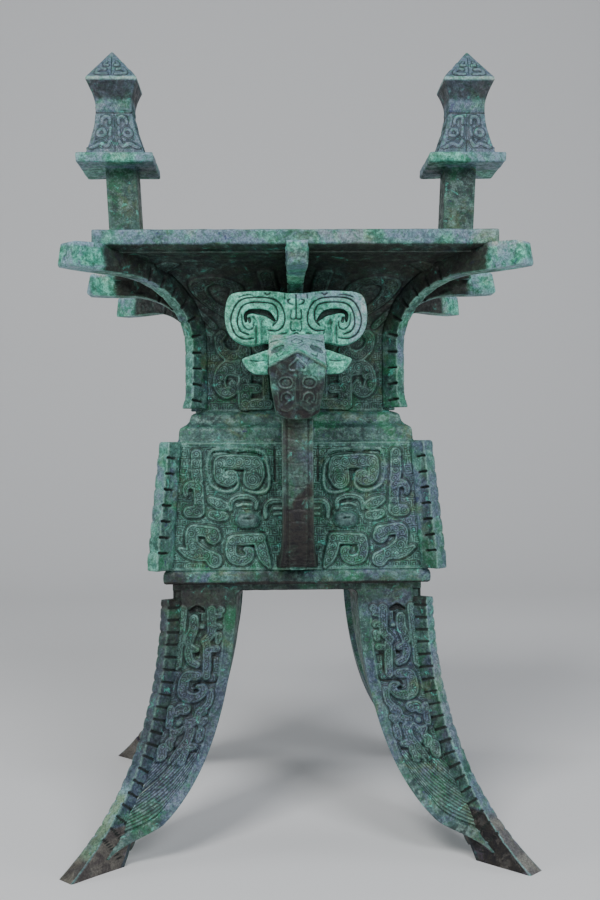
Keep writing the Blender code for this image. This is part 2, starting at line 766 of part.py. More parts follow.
HORN_OUTLINE = [
    (-0.02, 1.00),
    (0.25, 0.965),
    (0.58, 1.00),
    (0.84, 0.955),
    (0.97, 0.79),
    (1.00, 0.52),
    (0.93, 0.20),
    (0.77, 0.03),
    (0.58, 0.00),
    (0.48, 0.10),
    (0.40, 0.05),
    (-0.02, 0.05),
]
HORN_SCROLL = [(0.60, 0.13), (0.84, 0.22), (0.87, 0.62), (0.66, 0.86), (0.34, 0.78), (0.28, 0.40)]
HORN_CURL = [(0.42, 0.62), (0.62, 0.62), (0.60, 0.34)]
EAR = [(0.95, 0.0), (1.32, 0.0), (1.66, 0.22), (1.98, 0.56), (1.45, 0.74), (0.95, 0.90)]


def horns_and_ears():
    """The upright plate of the two scrolled horns, and the pointed ears."""
    made = []
    head_low = NECK_Z - HEAD_DROP
    low = head_low + HEAD_HEIGHT - HORN_SEAT
    back = HORN_SETBACK + HORN_THICK - BROW_REACH
    ear_low = head_low + 0.504 * HEAD_HEIGHT
    ear_front = EAR_SETBACK - STRAP_REACH
    for side in (-1, 1):
        def horn(u, v, n, side=side):
            lift = n if n > 0 else 0.0
            return Vector((side * u * HORN_SPAN / 2, back - lift, low + v * HORN_HEIGHT))

        def horn_front(u, v, n, side=side):
            return Vector((side * u * HORN_SPAN / 2, back - HORN_THICK - n, low + v * HORN_HEIGHT))

        def ear(u, v, n, side=side):
            return Vector((side * u * HEAD_HALF, ear_front - n, ear_low + v * EAR_HEIGHT))

        made.append(plate(f"horn_{side + 1}", HORN_OUTLINE, horn, HORN_THICK))
        made.append(plate(f"horn_scroll_{side + 1}", outline_of(HORN_SCROLL, 0.13), horn_front, HORN_BAND))
        made.append(plate(f"horn_curl_{side + 1}", outline_of(HORN_CURL, 0.11), horn_front, HORN_BAND))
        made.append(plate(f"ear_{side + 1}", EAR, ear, EAR_THICK))
    return made


# Joining

def main():
    clear_scene()
    vessel = body()
    vessel.name = "jia_vessel"
    vessel.data.name = "jia_vessel"
    vessel.data.materials.append(bronze())
    bpy.context.scene.collection.objects.link(vessel)

    pieces = neck_flanges() + belly_flanges() + legs() + post(-1) + post(1)
    pieces += belly_masks() + neck_dragons() + leg_dragons()
    pieces += [strap()] + head() + horns_and_ears()
    forms = bpy.data.collections.new("forms")
    bpy.context.scene.collection.children.link(forms)
    for piece in pieces:
        forms.objects.link(piece)
        piece.hide_render = True
        piece.display_type = "WIRE"

    cast = vessel.modifiers.new("cast", "BOOLEAN")
    cast.operation = "UNION"
    cast.solver = "EXACT"
    cast.operand_type = "COLLECTION"
    cast.collection = forms
    weld = vessel.modifiers.new("weld", "WELD")
    weld.merge_threshold = 0.00005


main()
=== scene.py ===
"""Looks of the bronze fang jia: cast relief, flanges, animal-head handle and patina.

Sizes are in metres in the CAD's frame, except those of the carving, which are in millimetres.
The surfaces are grids of points made with numpy. Their points carry four attributes that the
material reads: form, plan and swirl, described at relief(), and tint, described at tint_of().
"""

import math

import bmesh
import bpy
import numpy as np
from mathutils import Euler, Matrix, Vector


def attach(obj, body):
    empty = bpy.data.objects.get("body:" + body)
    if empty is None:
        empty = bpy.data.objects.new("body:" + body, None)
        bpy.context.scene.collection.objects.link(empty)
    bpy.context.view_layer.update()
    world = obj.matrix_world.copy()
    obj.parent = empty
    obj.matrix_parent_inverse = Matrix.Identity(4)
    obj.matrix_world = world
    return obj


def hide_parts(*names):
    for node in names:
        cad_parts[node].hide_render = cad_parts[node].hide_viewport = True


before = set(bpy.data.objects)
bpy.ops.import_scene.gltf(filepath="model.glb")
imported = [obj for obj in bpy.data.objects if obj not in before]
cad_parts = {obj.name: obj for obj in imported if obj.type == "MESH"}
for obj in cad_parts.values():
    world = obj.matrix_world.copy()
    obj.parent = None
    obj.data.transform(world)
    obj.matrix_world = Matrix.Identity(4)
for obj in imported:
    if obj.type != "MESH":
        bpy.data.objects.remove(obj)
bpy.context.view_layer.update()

# Levels, half widths and reaches of the vessel, as in the CAD
LEG_HEIGHT = 0.2025
BAND_Z = 0.2084
BELLY_Z = 0.2193
SHOULDER_Z = 0.3207
NECK_Z = 0.3460
RIM_Z = 0.4690
RIM_TOP = 0.4810
RECESS_HALF = 0.0993
BAND_HALF = 0.1062
BELLY_FOOT_HALF = 0.1050
BELLY_TOP_HALF = 0.0980
SHOULDER_HALF = 0.0950
NECK_HALF = 0.0770
RIM_HALF = 0.1533
WALL = 0.0042
FLOOR = 0.0060
LIP = 0.0090
FLARE_RADIUS = 0.0660
FLARE_Z = RIM_Z - 0.0040 - FLARE_RADIUS
STRAP_REACH = 0.1450
BROW_REACH = 0.1660
POST_X = 0.1440
DIAGONAL = math.sqrt(2.0)
FRONT = 3

# How far a part reaches into its neighbour
ROOT = 0.0022
# Distances between slots along the flanges, and how long a leg's flange is
SLOT_PITCH = 0.0127
LEG_SLOT_PITCH = 0.0098
LEG_FLANGE_LENGTH = 0.2320
# Millimetres from any band, on a plain surface
FAR = 30.0
# Millimetres between engraved lines, and the side of a ground spiral
PITCH = 1.72
CELL = 4 * PITCH


# Small helpers for curves and fields

def smooth(t):
    """0 below 0, 1 above 1, with a soft step between."""
    t = np.clip(t, 0.0, 1.0)
    return t * t * (3 - 2 * t)


def rounded(points, steps=5):
    """A smooth curve through points of any dimension."""
    p = np.array(points, float)
    if len(p) < 3:
        return p
    ends = np.vstack([2 * p[0] - p[1], p, 2 * p[-1] - p[-2]])
    made = []
    for k in range(1, len(ends) - 2):
        a, b, c, d = ends[k - 1:k + 3]
        for t in np.arange(steps) / steps:
            made.append(0.5 * (2 * b + (c - a) * t + (2 * a - 5 * b + 4 * c - d) * t**2
                               + (3 * b - a - 3 * c + d) * t**3))
    return np.array(made + [p[-1]])


def lengths(points):
    """How far along a polyline each of its points lies."""
    return np.concatenate([[0.0], np.cumsum(np.linalg.norm(np.diff(points, axis=0), axis=1))])


def resampled(points, step, corners=True):
    """Points along a polyline at about even steps, with its own corners kept."""
    p = np.array(points, float)
    if corners:
        made = []
        for a, b in zip(p, p[1:]):
            n = max(1, int(round(np.linalg.norm((b - a)[:2]) / step)))
            made.extend(a + (b - a) * k / n for k in range(n))
        return np.array(made + [p[-1]])
    length = lengths(p[:, :2])
    s = np.linspace(0.0, length[-1], max(2, int(round(length[-1] / step)) + 1))
    return np.stack([np.interp(s, length, column) for column in p.T], 1)


def stations(half, z, *steps):
    """Points of a profile, as steps in millimetres from the point (half, z)."""
    return [(half + a / 1000, z + b / 1000) for a, b in steps]


def reach(x, z, path):
    """Distance to a band's edge, below 0 inside it. path holds (x, z, width)."""
    best = np.full(x.shape, 99.0)
    for (ax, az, aw), (bx, bz, bw) in zip(path, path[1:]):
        dx = bx - ax
        dz = bz - az
        t = np.clip(((x - ax) * dx + (z - az) * dz) / max(dx * dx + dz * dz, 1e-9), 0.0, 1.0)
        far = np.hypot(x - ax - t * dx, z - az - t * dz)
        best = np.minimum(best, far - (aw + t * (bw - aw)) / 2)
    return best


def wave(x, y, z, scale, seed):
    """Soft noise between about -1 and 1, from a few sines."""
    made = 0.0
    source = np.random.default_rng(seed)
    for _ in range(7):
        way = source.normal(size=3)
        way *= scale * source.uniform(0.6, 1.5) / np.linalg.norm(way)
        made = made + np.sin(way[0] * x + way[1] * y + way[2] * z + source.uniform(0, 6.28))
    return made / 3.2


# Carving

def bare(x, z):
    """The height 0 over a face, and the attributes form, plan and swirl of a plain face."""
    blank = np.zeros(x.shape + (3,))
    plan = np.stack([x, z, 0 * x], -1)
    return np.zeros(x.shape), {"form": blank + (FAR, 0, 0), "plan": plan, "swirl": blank}


def relief(x, z, rows, ground=0.0):
    """The height in millimetres over a face, and its attributes form, plan and swirl.

    form is (distance to the nearest band's edge, share of ground pattern, height).
    plan is (place across, place up, how sharply the surface bends).
    swirl is the place round the nearest engraved spiral, and the spiral's weight.
    """
    high = np.zeros(x.shape)
    edge = np.full(x.shape, FAR)
    sunk = np.zeros(x.shape)
    ground = ground + np.zeros(x.shape)
    swirl = np.zeros(x.shape + (3,))
    for kind, height, path in rows:
        far = reach(x, z, rounded(path))
        if kind == "pit":
            sunk = np.maximum(sunk, height * smooth(0.5 - far / 0.9))
            continue
        if kind == "band":
            shape = smooth(0.62 - far)
            edge = np.minimum(edge, far)
            for k, (sx, sz, wide) in enumerate(resampled(rounded(path), 6.4, False)):
                inside = np.hypot(x - sx, z - sz) < 0.42 * wide
                if 0.42 * wide >= 1.5:
                    place = ((x[inside] - sx) * (1 if k % 2 else -1), z[inside] - sz)
                    swirl[inside] = np.stack([*place, np.ones(place[0].shape)], -1)
        elif kind == "line":
            shape = smooth(0.5 - far / 0.7)
        else:
            clear = far < (0.4 if kind == "dome" else 0.3)
            edge[clear] = 9.0
            ground[clear] = 0.0
            if kind == "dome":
                shape = np.sqrt(np.clip(1 - (far / (path[0][2] / 2) + 1) ** 2, 0.0, 1.0)) ** 0.8
            else:
                shape = np.sqrt(np.clip(-far / 1.1, 0.0, 1.0))
        high = np.maximum(high, height * shape)
    _, fields = bare(x, z)
    fields["form"] = np.stack([edge, ground, high - sunk], -1)
    fields["swirl"] = swirl
    return high - sunk, fields


def wider(rows, more, least=4.0):
    """The same rows with their bands and ropes made wider, the broad ones above all."""
    made = []
    for kind, height, path in rows:
        add = more * {"band": 1.0, "rope": 0.6}.get(kind, 0.0)
        made.append((kind, height, path + (0, 0, add * smooth((path[:, 2].max() - least) / 3.0))))
    return made


def both_halves(x, z, rows, ground):
    """The relief of rows that are mirrored about the middle of their face."""
    high, fields = relief(np.abs(x), z, rows, ground)
    fields["swirl"][..., 0] *= np.where(x < 0, -1.0, 1.0)
    return high, fields


def motif(*rows):
    """A carving's rows, with each path as an array of (across, up, width)."""
    return [(kind, height, np.array(path, float).reshape(-1, 3)) for kind, height, *path in rows]


# Carving tables in millimetres. A row is its kind, its height or depth, and then across, up and
# width of each point of its path. Across runs from a face's middle, or from a leg's inner edge.

BELLY_MASK = motif(
    ("band", 2.6, 34, 83.3, 13.6, 33.6, 76.4, 15.2, 34.8, 71.6, 13.6),
    ("band", 2.6, 32, 85.3, 8.8, 40.8, 85.7, 9.6, 52, 86, 10, 60, 85.3, 10),
    ("band", 2.6, 61.2, 84.5, 7.6, 61.8, 76.4, 6.8, 59.6, 71.6, 6.4, 54.4, 70.3, 6, 50.4, 72.8, 5.6, 50.4,
     76, 4.8, 53.6, 76.8, 4),
    ("pit", 1.6, 38.4, 78.7, 1.8, 44, 79.5, 2.4, 52, 79.8, 2.4, 57.6, 80.6, 1.8),
    ("rope", 2.4, 25.6, 88.1, 2.1, 22.8, 83.3, 2.6, 21.8, 76.4, 2.9, 21.6, 69.1, 2.9, 23.4, 63.5, 3, 28,
     61.4, 3, 34.4, 61.5, 2.7, 40.8, 63.5, 1.9),
    ("rope", 2.4, 46.2, 73.2, 1.8, 46.8, 67.1, 2.6, 50.4, 63.3, 2.9, 55.2, 62.3, 2.9, 60.8, 63.5, 2.9, 65.6,
     65.9, 2.6, 68.6, 68.5, 1.8),
    ("rope", 1.4, 22.6, 86, 1.5, 24, 90.8, 1.6, 27.4, 94.3, 1.6, 36, 95.8, 1.6, 50.4, 96.4, 1.6, 64, 96.1,
     1.6, 68.6, 93.9, 1.6, 70.6, 88.5, 1.6, 71, 79, 1.6, 68.8, 70, 1.5),
    ("pit", 2, 27.6, 90.4, 1.4, 33, 92, 2, 42, 92.6, 2, 46, 92.7, 1.4),
    ("pit", 2.2, 54, 93, 1.6, 60, 93.2, 2.4, 66.4, 92.8, 2),
    ("band", 2.4, 79.6, 92.4, 6.8, 79.6, 78, 7.2, 78.6, 72, 7),
    ("band", 2.2, 78, 66, 6.4, 77.6, 56, 6, 77.8, 47, 7.4),
    ("pit", 1.3, 75, 88.5, 1.1, 84.4, 88.5, 1.1),
    ("pit", 1.3, 75, 80.8, 1.1, 84.4, 80.8, 1.1),
    ("pit", 1.3, 74, 57.4, 1.1, 82, 57.4, 1.1),
    ("pit", 1.3, 74, 51.6, 1.1, 82, 51.6, 1.1),
    ("band", 2.4, 79.2, 67.1, 5.6, 84.8, 68.3, 4.8, 88.2, 65.1, 3.8, 88.2, 60.6, 2.9),
    ("band", 2.4, 79.2, 46.5, 8, 85.6, 46.5, 7.2),
    ("pit", 1.2, 84.6, 63.3, 2.4, 85.6, 62.7, 2.1),
    ("line", 0.9, 85.2, 95.8, 1, 86.4, 83.7, 1, 87.2, 72.4, 1),
    ("band", 1.9, 32.2, 48.9, 2.7, 32.2, 54.2, 3.4, 36, 57.2, 3.5, 42.4, 58.5, 3.7, 49.6, 56.8, 3.7, 52.5,
     53, 3.5, 52.8, 48.1, 2.9),
    ("band", 1.2, 36, 51.7, 1.6, 42.4, 52.3, 1.8, 47.2, 50.9, 1.6),
    ("pit", 0.9, 35.6, 53.9, 1.1, 40.8, 54.4, 1.8, 46, 53.6, 1.3),
    ("dome", 6.2, 35.6, 39.8, 12.8, 42.4, 39.8, 12.8),
    ("pit", 2.8, 37.6, 40.6, 1.4, 41.6, 40.6, 1.4),
    ("band", 2.1, 57.6, 50.9, 5.6, 62.4, 52.8, 7.2, 68, 55.4, 4.5),
    ("band", 1.7, 57.6, 42.8, 5.1, 62.4, 43.1, 6.4, 67.2, 44.2, 5),
    ("band", 2.4, 66.4, 26.7, 10.4, 67.2, 27.9, 10.4),
    ("band", 2.4, 65.6, 30.3, 6.4, 74.4, 31.3, 7.2, 83.2, 31.5, 7.2, 83.4, 22.2, 8.8),
    ("band", 2.4, 82.4, 19, 9.6, 76.8, 14.9, 8.8, 70.4, 11.7, 8, 65.6, 8.1, 10.4),
    ("band", 2, 72, 12.1, 7.2, 80.8, 12.1, 6.4, 87.2, 14.1, 5, 93, 17.4, 1.6),
    ("pit", 1.4, 72.2, 25.8, 1.3, 77.6, 26.3, 1.6),
    ("band", 2.6, 30, 24.2, 7.2, 28, 16.5, 8, 25.6, 9.3, 6.7, 22.1, 2.6, 1.4),
    ("band", 2.6, 28.8, 25, 6.4, 38.4, 24.5, 7.2, 50.4, 23.8, 7.2),
    ("band", 2.6, 51.6, 23, 7.2, 52.6, 15.7, 6.7, 50.4, 9.7, 6.7, 44, 7.5, 5.8, 38.8, 9.7, 5.3, 37.6, 14.9,
     4.8, 40, 16.5, 3.2),
    ("pit", 1.6, 34.8, 18.6, 1.8, 40.8, 19.1, 2.1, 48.4, 19.6, 1.8),
    ("line", 0.8, 16.4, 100.5, 0.8, 88.4, 100.8, 0.8),
    ("line", 0.8, 90.2, 95.8, 0.8, 94.4, 62.7, 0.8, 97.2, 30.3, 0.8, 99.4, 2, 0.8),
    ("pit", 1.6, 17.2, 98, 1.2, 17.2, 80, 1.6, 17, 70, 1.2),
    ("band", 1.4, 11.6, 54.6, 3.2, 20, 54.6, 3.6, 24.6, 50.6, 3.4, 24.8, 42, 3),
    ("pit", 1.6, 28.2, 48, 1.8, 27.6, 43, 1.6),
    ("pit", 1.4, 25.6, 29.6, 1.8, 29.4, 30.2, 1.8),
    ("band", 1.2, 12, 48.6, 2, 18, 48.8, 2),
    ("band", 1.2, 12, 44.6, 2, 18, 44.2, 2),
    ("line", 0.8, 16.8, 97.4, 0.6, 23, 97.4, 0.6),
)
NECK_DRAGON = motif(
    ("band", 2.2, 45.6, 34.2, 10.5, 56.1, 35.4, 10.7, 61, 28.4, 9.3, 61, 20.2, 8.9, 56.1, 15.3, 8.2, 50.1,
     17.9, 6.5, 51.2, 23.1, 4.7),
    ("pit", 1.2, 52.6, 25.1, 2.1, 57.9, 24.3, 3, 58.5, 20.8, 2.6),
    ("band", 2.2, 41, 50.6, 8.9, 41, 28.4, 9.3, 41, 6.2, 9.8),
    ("band", 2.2, 41, 6.2, 8.2, 29.3, 6, 7.7, 21.7, 6, 7),
    ("band", 2.2, 39.8, 19.1, 7, 30.5, 18.8, 6.5),
    ("band", 2.2, 39.8, 34.2, 7, 29.3, 34, 6.3, 22.3, 34, 6.3),
    ("band", 2, 24, 28.4, 4.7, 23.7, 20.2, 5.1, 23.5, 12.1, 5.1),
    ("pit", 1.2, 32.8, 23.7, 3, 35.1, 23.7, 3.5),
    ("pit", 1.2, 32.8, 11.5, 3, 35.1, 11.1, 3.3),
    ("band", 2.2, 43.3, 46.5, 7, 52.6, 45.3, 8.2, 59.6, 50.6, 7, 61.4, 58.7, 5.8, 57.3, 63.4, 5.1),
    ("line", 0.8, 19.4, 0.4, 1.1, 73.6, 0.4, 1.1),
    ("line", 0.8, 70.7, 70.4, 1.1, 71.3, 1.6, 1.1),
    ("band", 2, 23.5, 49.4, 7, 29.3, 51.7, 7, 32.8, 58.7, 5.8, 29.3, 63.4, 5.1),
    ("band", 2, 11.8, 6.2, 6.5, 11.8, 26.1, 7, 16.5, 34.2, 6.5),
    ("band", 2, 4.8, 6.2, 4.7, 5, 47.1, 5.1),
)
LEG_DRAGON = motif(
    ("line", 0.9, 9.4, 189.1, 1.3, 8.4, 161.8, 1.3, 7.9, 139.2, 1.3, 8.6, 111.9, 1.3, 6.5, 85.5, 1.3, 5,
     71.9, 1.3),
    ("band", 1.8, 11.5, 187.5, 5.1, 11.6, 187.4, 5.1),
    ("band", 1.9, 19.1, 187.3, 6, 18.9, 179.4, 6.4, 18.3, 168.8, 5.8, 22.8, 162.8, 6),
    ("band", 1.6, 12.1, 182.5, 3.3, 15.7, 182.7, 3.6),
    ("band", 1.6, 12.2, 174.1, 4, 14.9, 174.8, 4),
    ("band", 1.6, 12.2, 167, 4.6, 12.6, 162.6, 3.6),
    ("band", 1.6, 12.8, 156.5, 4.6, 16.5, 156.5, 3.6),
    ("pit", 2.6, 25.7, 186.3, 2.7, 30.8, 188.2, 4.2, 35.8, 186.3, 2.7),
    ("pit", 1.4, 28.2, 183.8, 1.5, 28, 175.8, 1.3),
    ("dome", 3, 26, 174, 4.8, 26.5, 174, 4.8),
    ("band", 2, 32.9, 180.3, 6.4, 32.9, 172.3, 6.9, 35.5, 164.4, 7.3, 35.7, 162.6, 6.9),
    ("band", 1.4, 42, 188.2, 5.6, 42.3, 176.7, 5.6, 42.8, 165.3, 5.6, 43, 154.8, 5.8, 42.3, 144.3, 6),
    ("band", 2, 28.9, 156.1, 3.6, 34.6, 157.8, 4.7, 34.7, 152.2, 5.1, 31.7, 146.8, 4.7, 26.7, 144.3, 4),
    ("pit", 1.8, 27.3, 152.5, 2.7, 28.2, 152, 2.4),
    ("band", 1.9, 20.9, 159.1, 5.5, 18.9, 144.3, 5.6, 17.7, 135.7, 5.1),
    ("pit", 1.4, 11.7, 150.4, 1.5, 15.4, 150.2, 1.6, 13.7, 137.4, 1.3),
    ("band", 2.4, 24.8, 135.7, 5.5, 33.7, 135.7, 6.9, 34.7, 128.9, 7.7, 33.6, 122.9, 7.3, 27.7, 119.3, 6.6,
     20.8, 119.9, 5.8, 17.8, 123.7, 5.5, 19.3, 127, 4.6, 22.8, 127.5, 2.7),
    ("pit", 1.8, 23.2, 125.6, 2, 24.7, 124.6, 2),
    ("pit", 1.4, 8.8, 134.7, 1.5, 10.3, 130.7, 1.6, 23.5, 130.1, 1.6, 26.9, 127.8, 1.3),
    ("band", 1.8, 12.1, 123.7, 4, 11.4, 115.3, 4.6, 15.1, 110.2, 4.9),
    ("band", 1.9, 13.5, 108.1, 4, 17.2, 108.5, 5.1, 18.4, 101.9, 5.5, 25, 100.6, 4.6),
    ("band", 1.7, 11.4, 101.9, 4.6, 13.2, 99.8, 4.6),
    ("band", 2.1, 28.4, 110.2, 6.9, 34, 111.1, 6.4, 34.6, 107.7, 4.9),
    ("pit", 1.4, 32.3, 110.9, 1.5, 36.2, 111.1, 1.5),
    ("dome", 3.2, 30.7, 100.4, 4.9, 31.4, 100.2, 4.9),
    ("band", 1.8, 41, 111.1, 4.6, 39.2, 104.4, 4.7, 38.3, 99, 4.6),
    ("band", 2.1, 26.1, 96.5, 3.6, 28.5, 93.6, 5.1, 32.5, 92.8, 4.6, 35.1, 94.9, 2.4),
    ("pit", 1.2, 25.6, 95.3, 1.3, 26.6, 91.2, 1.6, 32.4, 90.4, 1.5),
    ("band", 1.8, 12.1, 94.4, 5.1, 11, 88.7, 4.9),
    ("band", 1.8, 20, 94.4, 6.4, 19.9, 87.9, 6.6, 23.1, 79.8, 6.9, 25.1, 73.4, 6.4),
    ("band", 2, 32.2, 87.9, 5.1, 34.1, 86.7, 4.9, 31, 82.2, 3.6),
    ("pit", 1.6, 27.2, 81.9, 2.4, 28.4, 81.6, 2.2),
    ("band", 1.9, 12.5, 82.2, 4, 16.1, 82.6, 5.1, 17.9, 78.2, 6, 17.6, 72.7, 6),
    ("pit", 1.6, 9.7, 79.2, 1.6, 14, 79, 2, 14.6, 73.4, 1.8),
    ("band", 1.5, 37.5, 82.2, 6.4, 35.1, 75.8, 6.6),
)
FLARE_CURLS = motif(
    ("band", 1.6, 30, 74, 8, 44, 78, 9, 54, 90, 9, 52, 106, 9, 40, 112, 8, 32, 104, 7, 36, 95, 6),
    ("band", 1.6, 14, 120, 8, 14, 96, 9, 20, 80, 7),
    ("band", 1.4, 62, 70, 6, 68, 90, 7, 66, 118, 8, 54, 132, 7),
    ("line", 0.7, 8, 138, 1.2, 40, 136, 1.2, 76, 138, 1.2),
)
CAP_PANEL = motif(
    ("pit", 1.2, 0, 3, 1.1, 0, 36.5, 1.1),
    ("pit", 1.3, -2, 38.2, 1.3, 20, 38.2, 1.3),
    ("pit", 1, -2, 2.4, 1, 20, 2.4, 1),
    ("line", 0.8, -2, 46.4, 0.9, 20, 46.4, 0.9),
    ("line", 0.8, 1, 44.5, 1.1, 3.4, 40.5, 1.1, 5.8, 44.5, 1.1, 8.2, 40.5, 1.1, 10.6, 44.5, 1.1, 13, 40.5,
     1.1, 15.4, 44.5, 1.1),
    ("band", 1.1, 4.6, 29, 2.6, 4.8, 33.4, 3, 9, 34.6, 3, 12.6, 32, 3, 12.6, 28.4, 2.6),
    ("band", 1.1, 8.2, 19, 2.4, 10.4, 23, 2.6, 14.4, 22.4, 2.6, 15, 18.4, 2.4, 11.6, 16.6, 2.4, 8.4, 18.2,
     2.4),
    ("band", 1.1, 3.8, 24.6, 2.2, 4.2, 17.4, 2.4),
    ("band", 1.1, 3.6, 12.2, 2.4, 6, 7.2, 2.8, 11, 9.8, 2.8, 15, 6.8, 3, 18, 5.6, 1.6),
    ("pit", 1, 0, 70, 1, 0, 90, 1),
    ("band", 1, 3.8, 70.4, 2.2, 8.8, 70.6, 2.6, 13, 71.6, 2.2, 10, 76, 2.4, 5, 75.8, 2.2),
    ("band", 0.9, 3, 80.4, 1.8, 6, 80.8, 2, 4.2, 84.2, 1.6),
)
HORN_CARVING = motif(
    ("pit", 1.5, 0, 41.5, 1.3, 0, 20.5, 1.3),
    ("pit", 1.3, 4.4, 35.6, 1, 6.4, 34, 1.2, 4.8, 32, 1.2, 2.4, 31.2, 1),
    ("pit", 1.3, 3.9, 27.2, 1.1, 3.9, 20.5, 1.2, 0, 20.3, 1.2),
    ("pit", 1.3, 3.9, 18, 1, 4.2, 13, 1.2, 3, 10.8, 1.2, 0.8, 11.2, 1),
    ("pit", 1.2, 8.4, 39.8, 1.1, 8.8, 36, 1),
    ("pit", 1.2, 20, 40.2, 1.4, 22, 38.8, 1.4, 24, 40.2, 1.4),
    ("pit", 1.2, 33, 38.6, 1.1, 38, 38.8, 1.3, 44, 37, 1.1),
    ("pit", 1.5, 21.2, 11.4, 1.2, 14.6, 11.2, 1.3, 9.6, 15.6, 1.3, 8.9, 23.5, 1.3, 12.1, 31.6, 1.3, 18.4,
     35.8, 1.3, 28.8, 37, 1.3, 40.4, 35.8, 1.3, 46.8, 30.4, 1.3, 50.4, 19.6, 1.3, 47.4, 9.4, 1.3, 40.6, 4.9,
     1.3, 33, 5.4, 1.2),
    ("pit", 1.5, 18, 15, 1.2, 14.4, 19.6, 1.3, 14.6, 27, 1.3, 18.4, 31.8, 1.3, 28.8, 33.2, 1.3, 38.2, 32,
     1.3, 43, 27.8, 1.3, 45.4, 18.4, 1.3, 42.8, 11, 1.3, 36.6, 8.2, 1.2),
    ("pit", 1.3, 42, 23.6, 1.1, 41.2, 16.2, 1.2, 37.6, 12.2, 1.2, 33.6, 13, 1.2, 32.4, 18, 1.1),
    ("pit", 4.6, 38.8, 18.6, 1.6, 39, 23.4, 2.2, 35.6, 26, 2.8, 29, 25.8, 4, 22.4, 24.4, 4.4, 18.9, 21.4, 3,
     16.6, 19, 1.4),
    ("pit", 2, 36.4, 20.6, 2.6, 35.8, 18, 2),
    ("pit", 0.75, 26.2, 19, 2.6, 25.2, 12, 3.8, 24.8, 2, 4.2, 24.8, -1.5, 4.2),
    ("pit", 1, 22.6, 14, 0.9, 21.2, 9, 1, 20.4, 3, 0.9),
    ("pit", 1, 31.4, 15, 1.2, 31.2, 8, 1.2, 31.4, 0, 1.2),
    ("rope", 1.5, 34.8, 22.8, 2.4, 32.2, 23.6, 2.6, 29.6, 19.6, 2.8, 28.6, 12, 2.8, 28.4, 2, 3),
    ("pit", 1.3, 0.4, 9.6, 1.2, 7.6, 6.2, 1.3, 20.5, 3.8, 1.1),
    ("pit", 1.1, 7.6, 9.4, 1.2, 16.7, 7.4, 1.2),
)
FACE_CARVING = motif(
    ("band", 1.1, -1, 51.6, 2.2, 10, 46.2, 2, 22, 40, 1.8),
    ("line", 1, 3.4, 27.4, 1.1, 5.2, 30.6, 1.2, 8.8, 31.6, 1.2, 12.8, 30.2, 1.2, 14, 27.2, 1.1, 12.2, 24.2,
     1.2, 8.4, 23.4, 1.2, 4.8, 24.6, 1.2, 3.4, 27.4, 1.1),
    ("dome", 0.6, 7.6, 27.4, 4.4, 9.8, 27.4, 4.4),
    ("line", 1, 0.6, 45, 1.2, 3.2, 42.4, 1.3, 6.2, 39.6, 1.3, 5.4, 36.6, 1.2, 2.6, 36.2, 1.2),
    ("line", 0.9, 3.6, 14.6, 1.2, 4.8, 18.4, 1.3, 8.4, 20.2, 1.3, 11.8, 18.4, 1.3, 12.2, 14.4, 1.2),
    ("line", 0.6, 9.4, 11.4, 1.2, 6.8, 13.6, 1.2, 8.8, 16.2, 1.2),
    ("pit", 0.8, 0, 35, 1.6, 0, 24, 2.4, 0, 12, 2.2),
    ("line", 0.5, 4.2, 9, 1.4, 8, 6.4, 1.4, 12, 7.6, 1.4),
    ("line", 0.5, 15.6, 36, 1.6, 16.4, 31, 1.6),
    ("line", 0.5, 14.8, 20, 1.6, 13.6, 12, 1.6),
)
BROW_CARVING = motif(
    ("pit", 1.1, 10.2, 54.6, 0.9, 11.4, 56.4, 0.9, 18.2, 54, 0.9, 19, 50.8, 0.9, 12, 52.8, 0.9, 10.2, 54.6,
     0.9),
    ("pit", 0.95, 11.6, 54.9, 2.8, 17.6, 52.5, 3.2),
    ("pit", 1, 0.4, 62.6, 0.9, 4.2, 60, 0.9, 0.4, 57.6, 0.9),
    ("pit", 1, 3, 56.2, 0.9, 6, 57.6, 0.9, 9, 57.4, 0.9),
    ("pit", 1, 0.4, 65.2, 1, 8, 62.8, 1.1, 20.4, 59.6, 1),
    ("pit", 0.8, 11, 49, 0.9, 15, 47.6, 0.9, 15.4, 49.6, 0.9),
)
EAR_CARVING = motif(
    ("pit", 1.1, 25, 11.4, 1, 31, 11, 1.1, 36, 11.6, 1),
)


# Grids and meshes

def read(items, key, width=3, kind=np.float32):
    """One property of mesh items, as rows of numbers."""
    values = np.zeros(len(items) * width, kind)
    items.foreach_get(key, values)
    return values.reshape(-1, width) if width > 1 else values


def linked(name, data):
    """A new object in the scene."""
    made = bpy.data.objects.new(name, data)
    bpy.context.scene.collection.objects.link(made)
    return made


def from_bmesh(name, bm):
    """A new object in the scene out of a bmesh."""
    mesh = bpy.data.meshes.new(name)
    bm.to_mesh(mesh)
    bm.free()
    return linked(name, mesh)


def raw_object(name, vertices, loops, starts, fields):
    """A mesh object from arrays, turned so that its faces look outwards."""
    mesh = bpy.data.meshes.new(name)
    mesh.vertices.add(len(vertices))
    mesh.vertices.foreach_set("co", vertices.astype(np.float32).ravel())
    mesh.loops.add(len(loops))
    mesh.loops.foreach_set("vertex_index", loops.astype(np.int32))
    mesh.polygons.add(len(starts))
    mesh.polygons.foreach_set("loop_start", starts.astype(np.int32))
    mesh.update(calc_edges=True)
    mesh.calc_loop_triangles()
    t = vertices[read(mesh.loop_triangles, "vertices", 3, np.int32)]
    if np.einsum("ij,ij->", np.cross(t[:, 0], t[:, 1]), t[:, 2]) < 0:
        mesh.flip_normals()
    for key, value in fields.items():
        layer = mesh.attributes.new(key, "FLOAT_VECTOR", "POINT")
        layer.data.foreach_set("vector", value.astype(np.float32).ravel())
    mesh.shade_smooth()
    return linked(name, mesh)


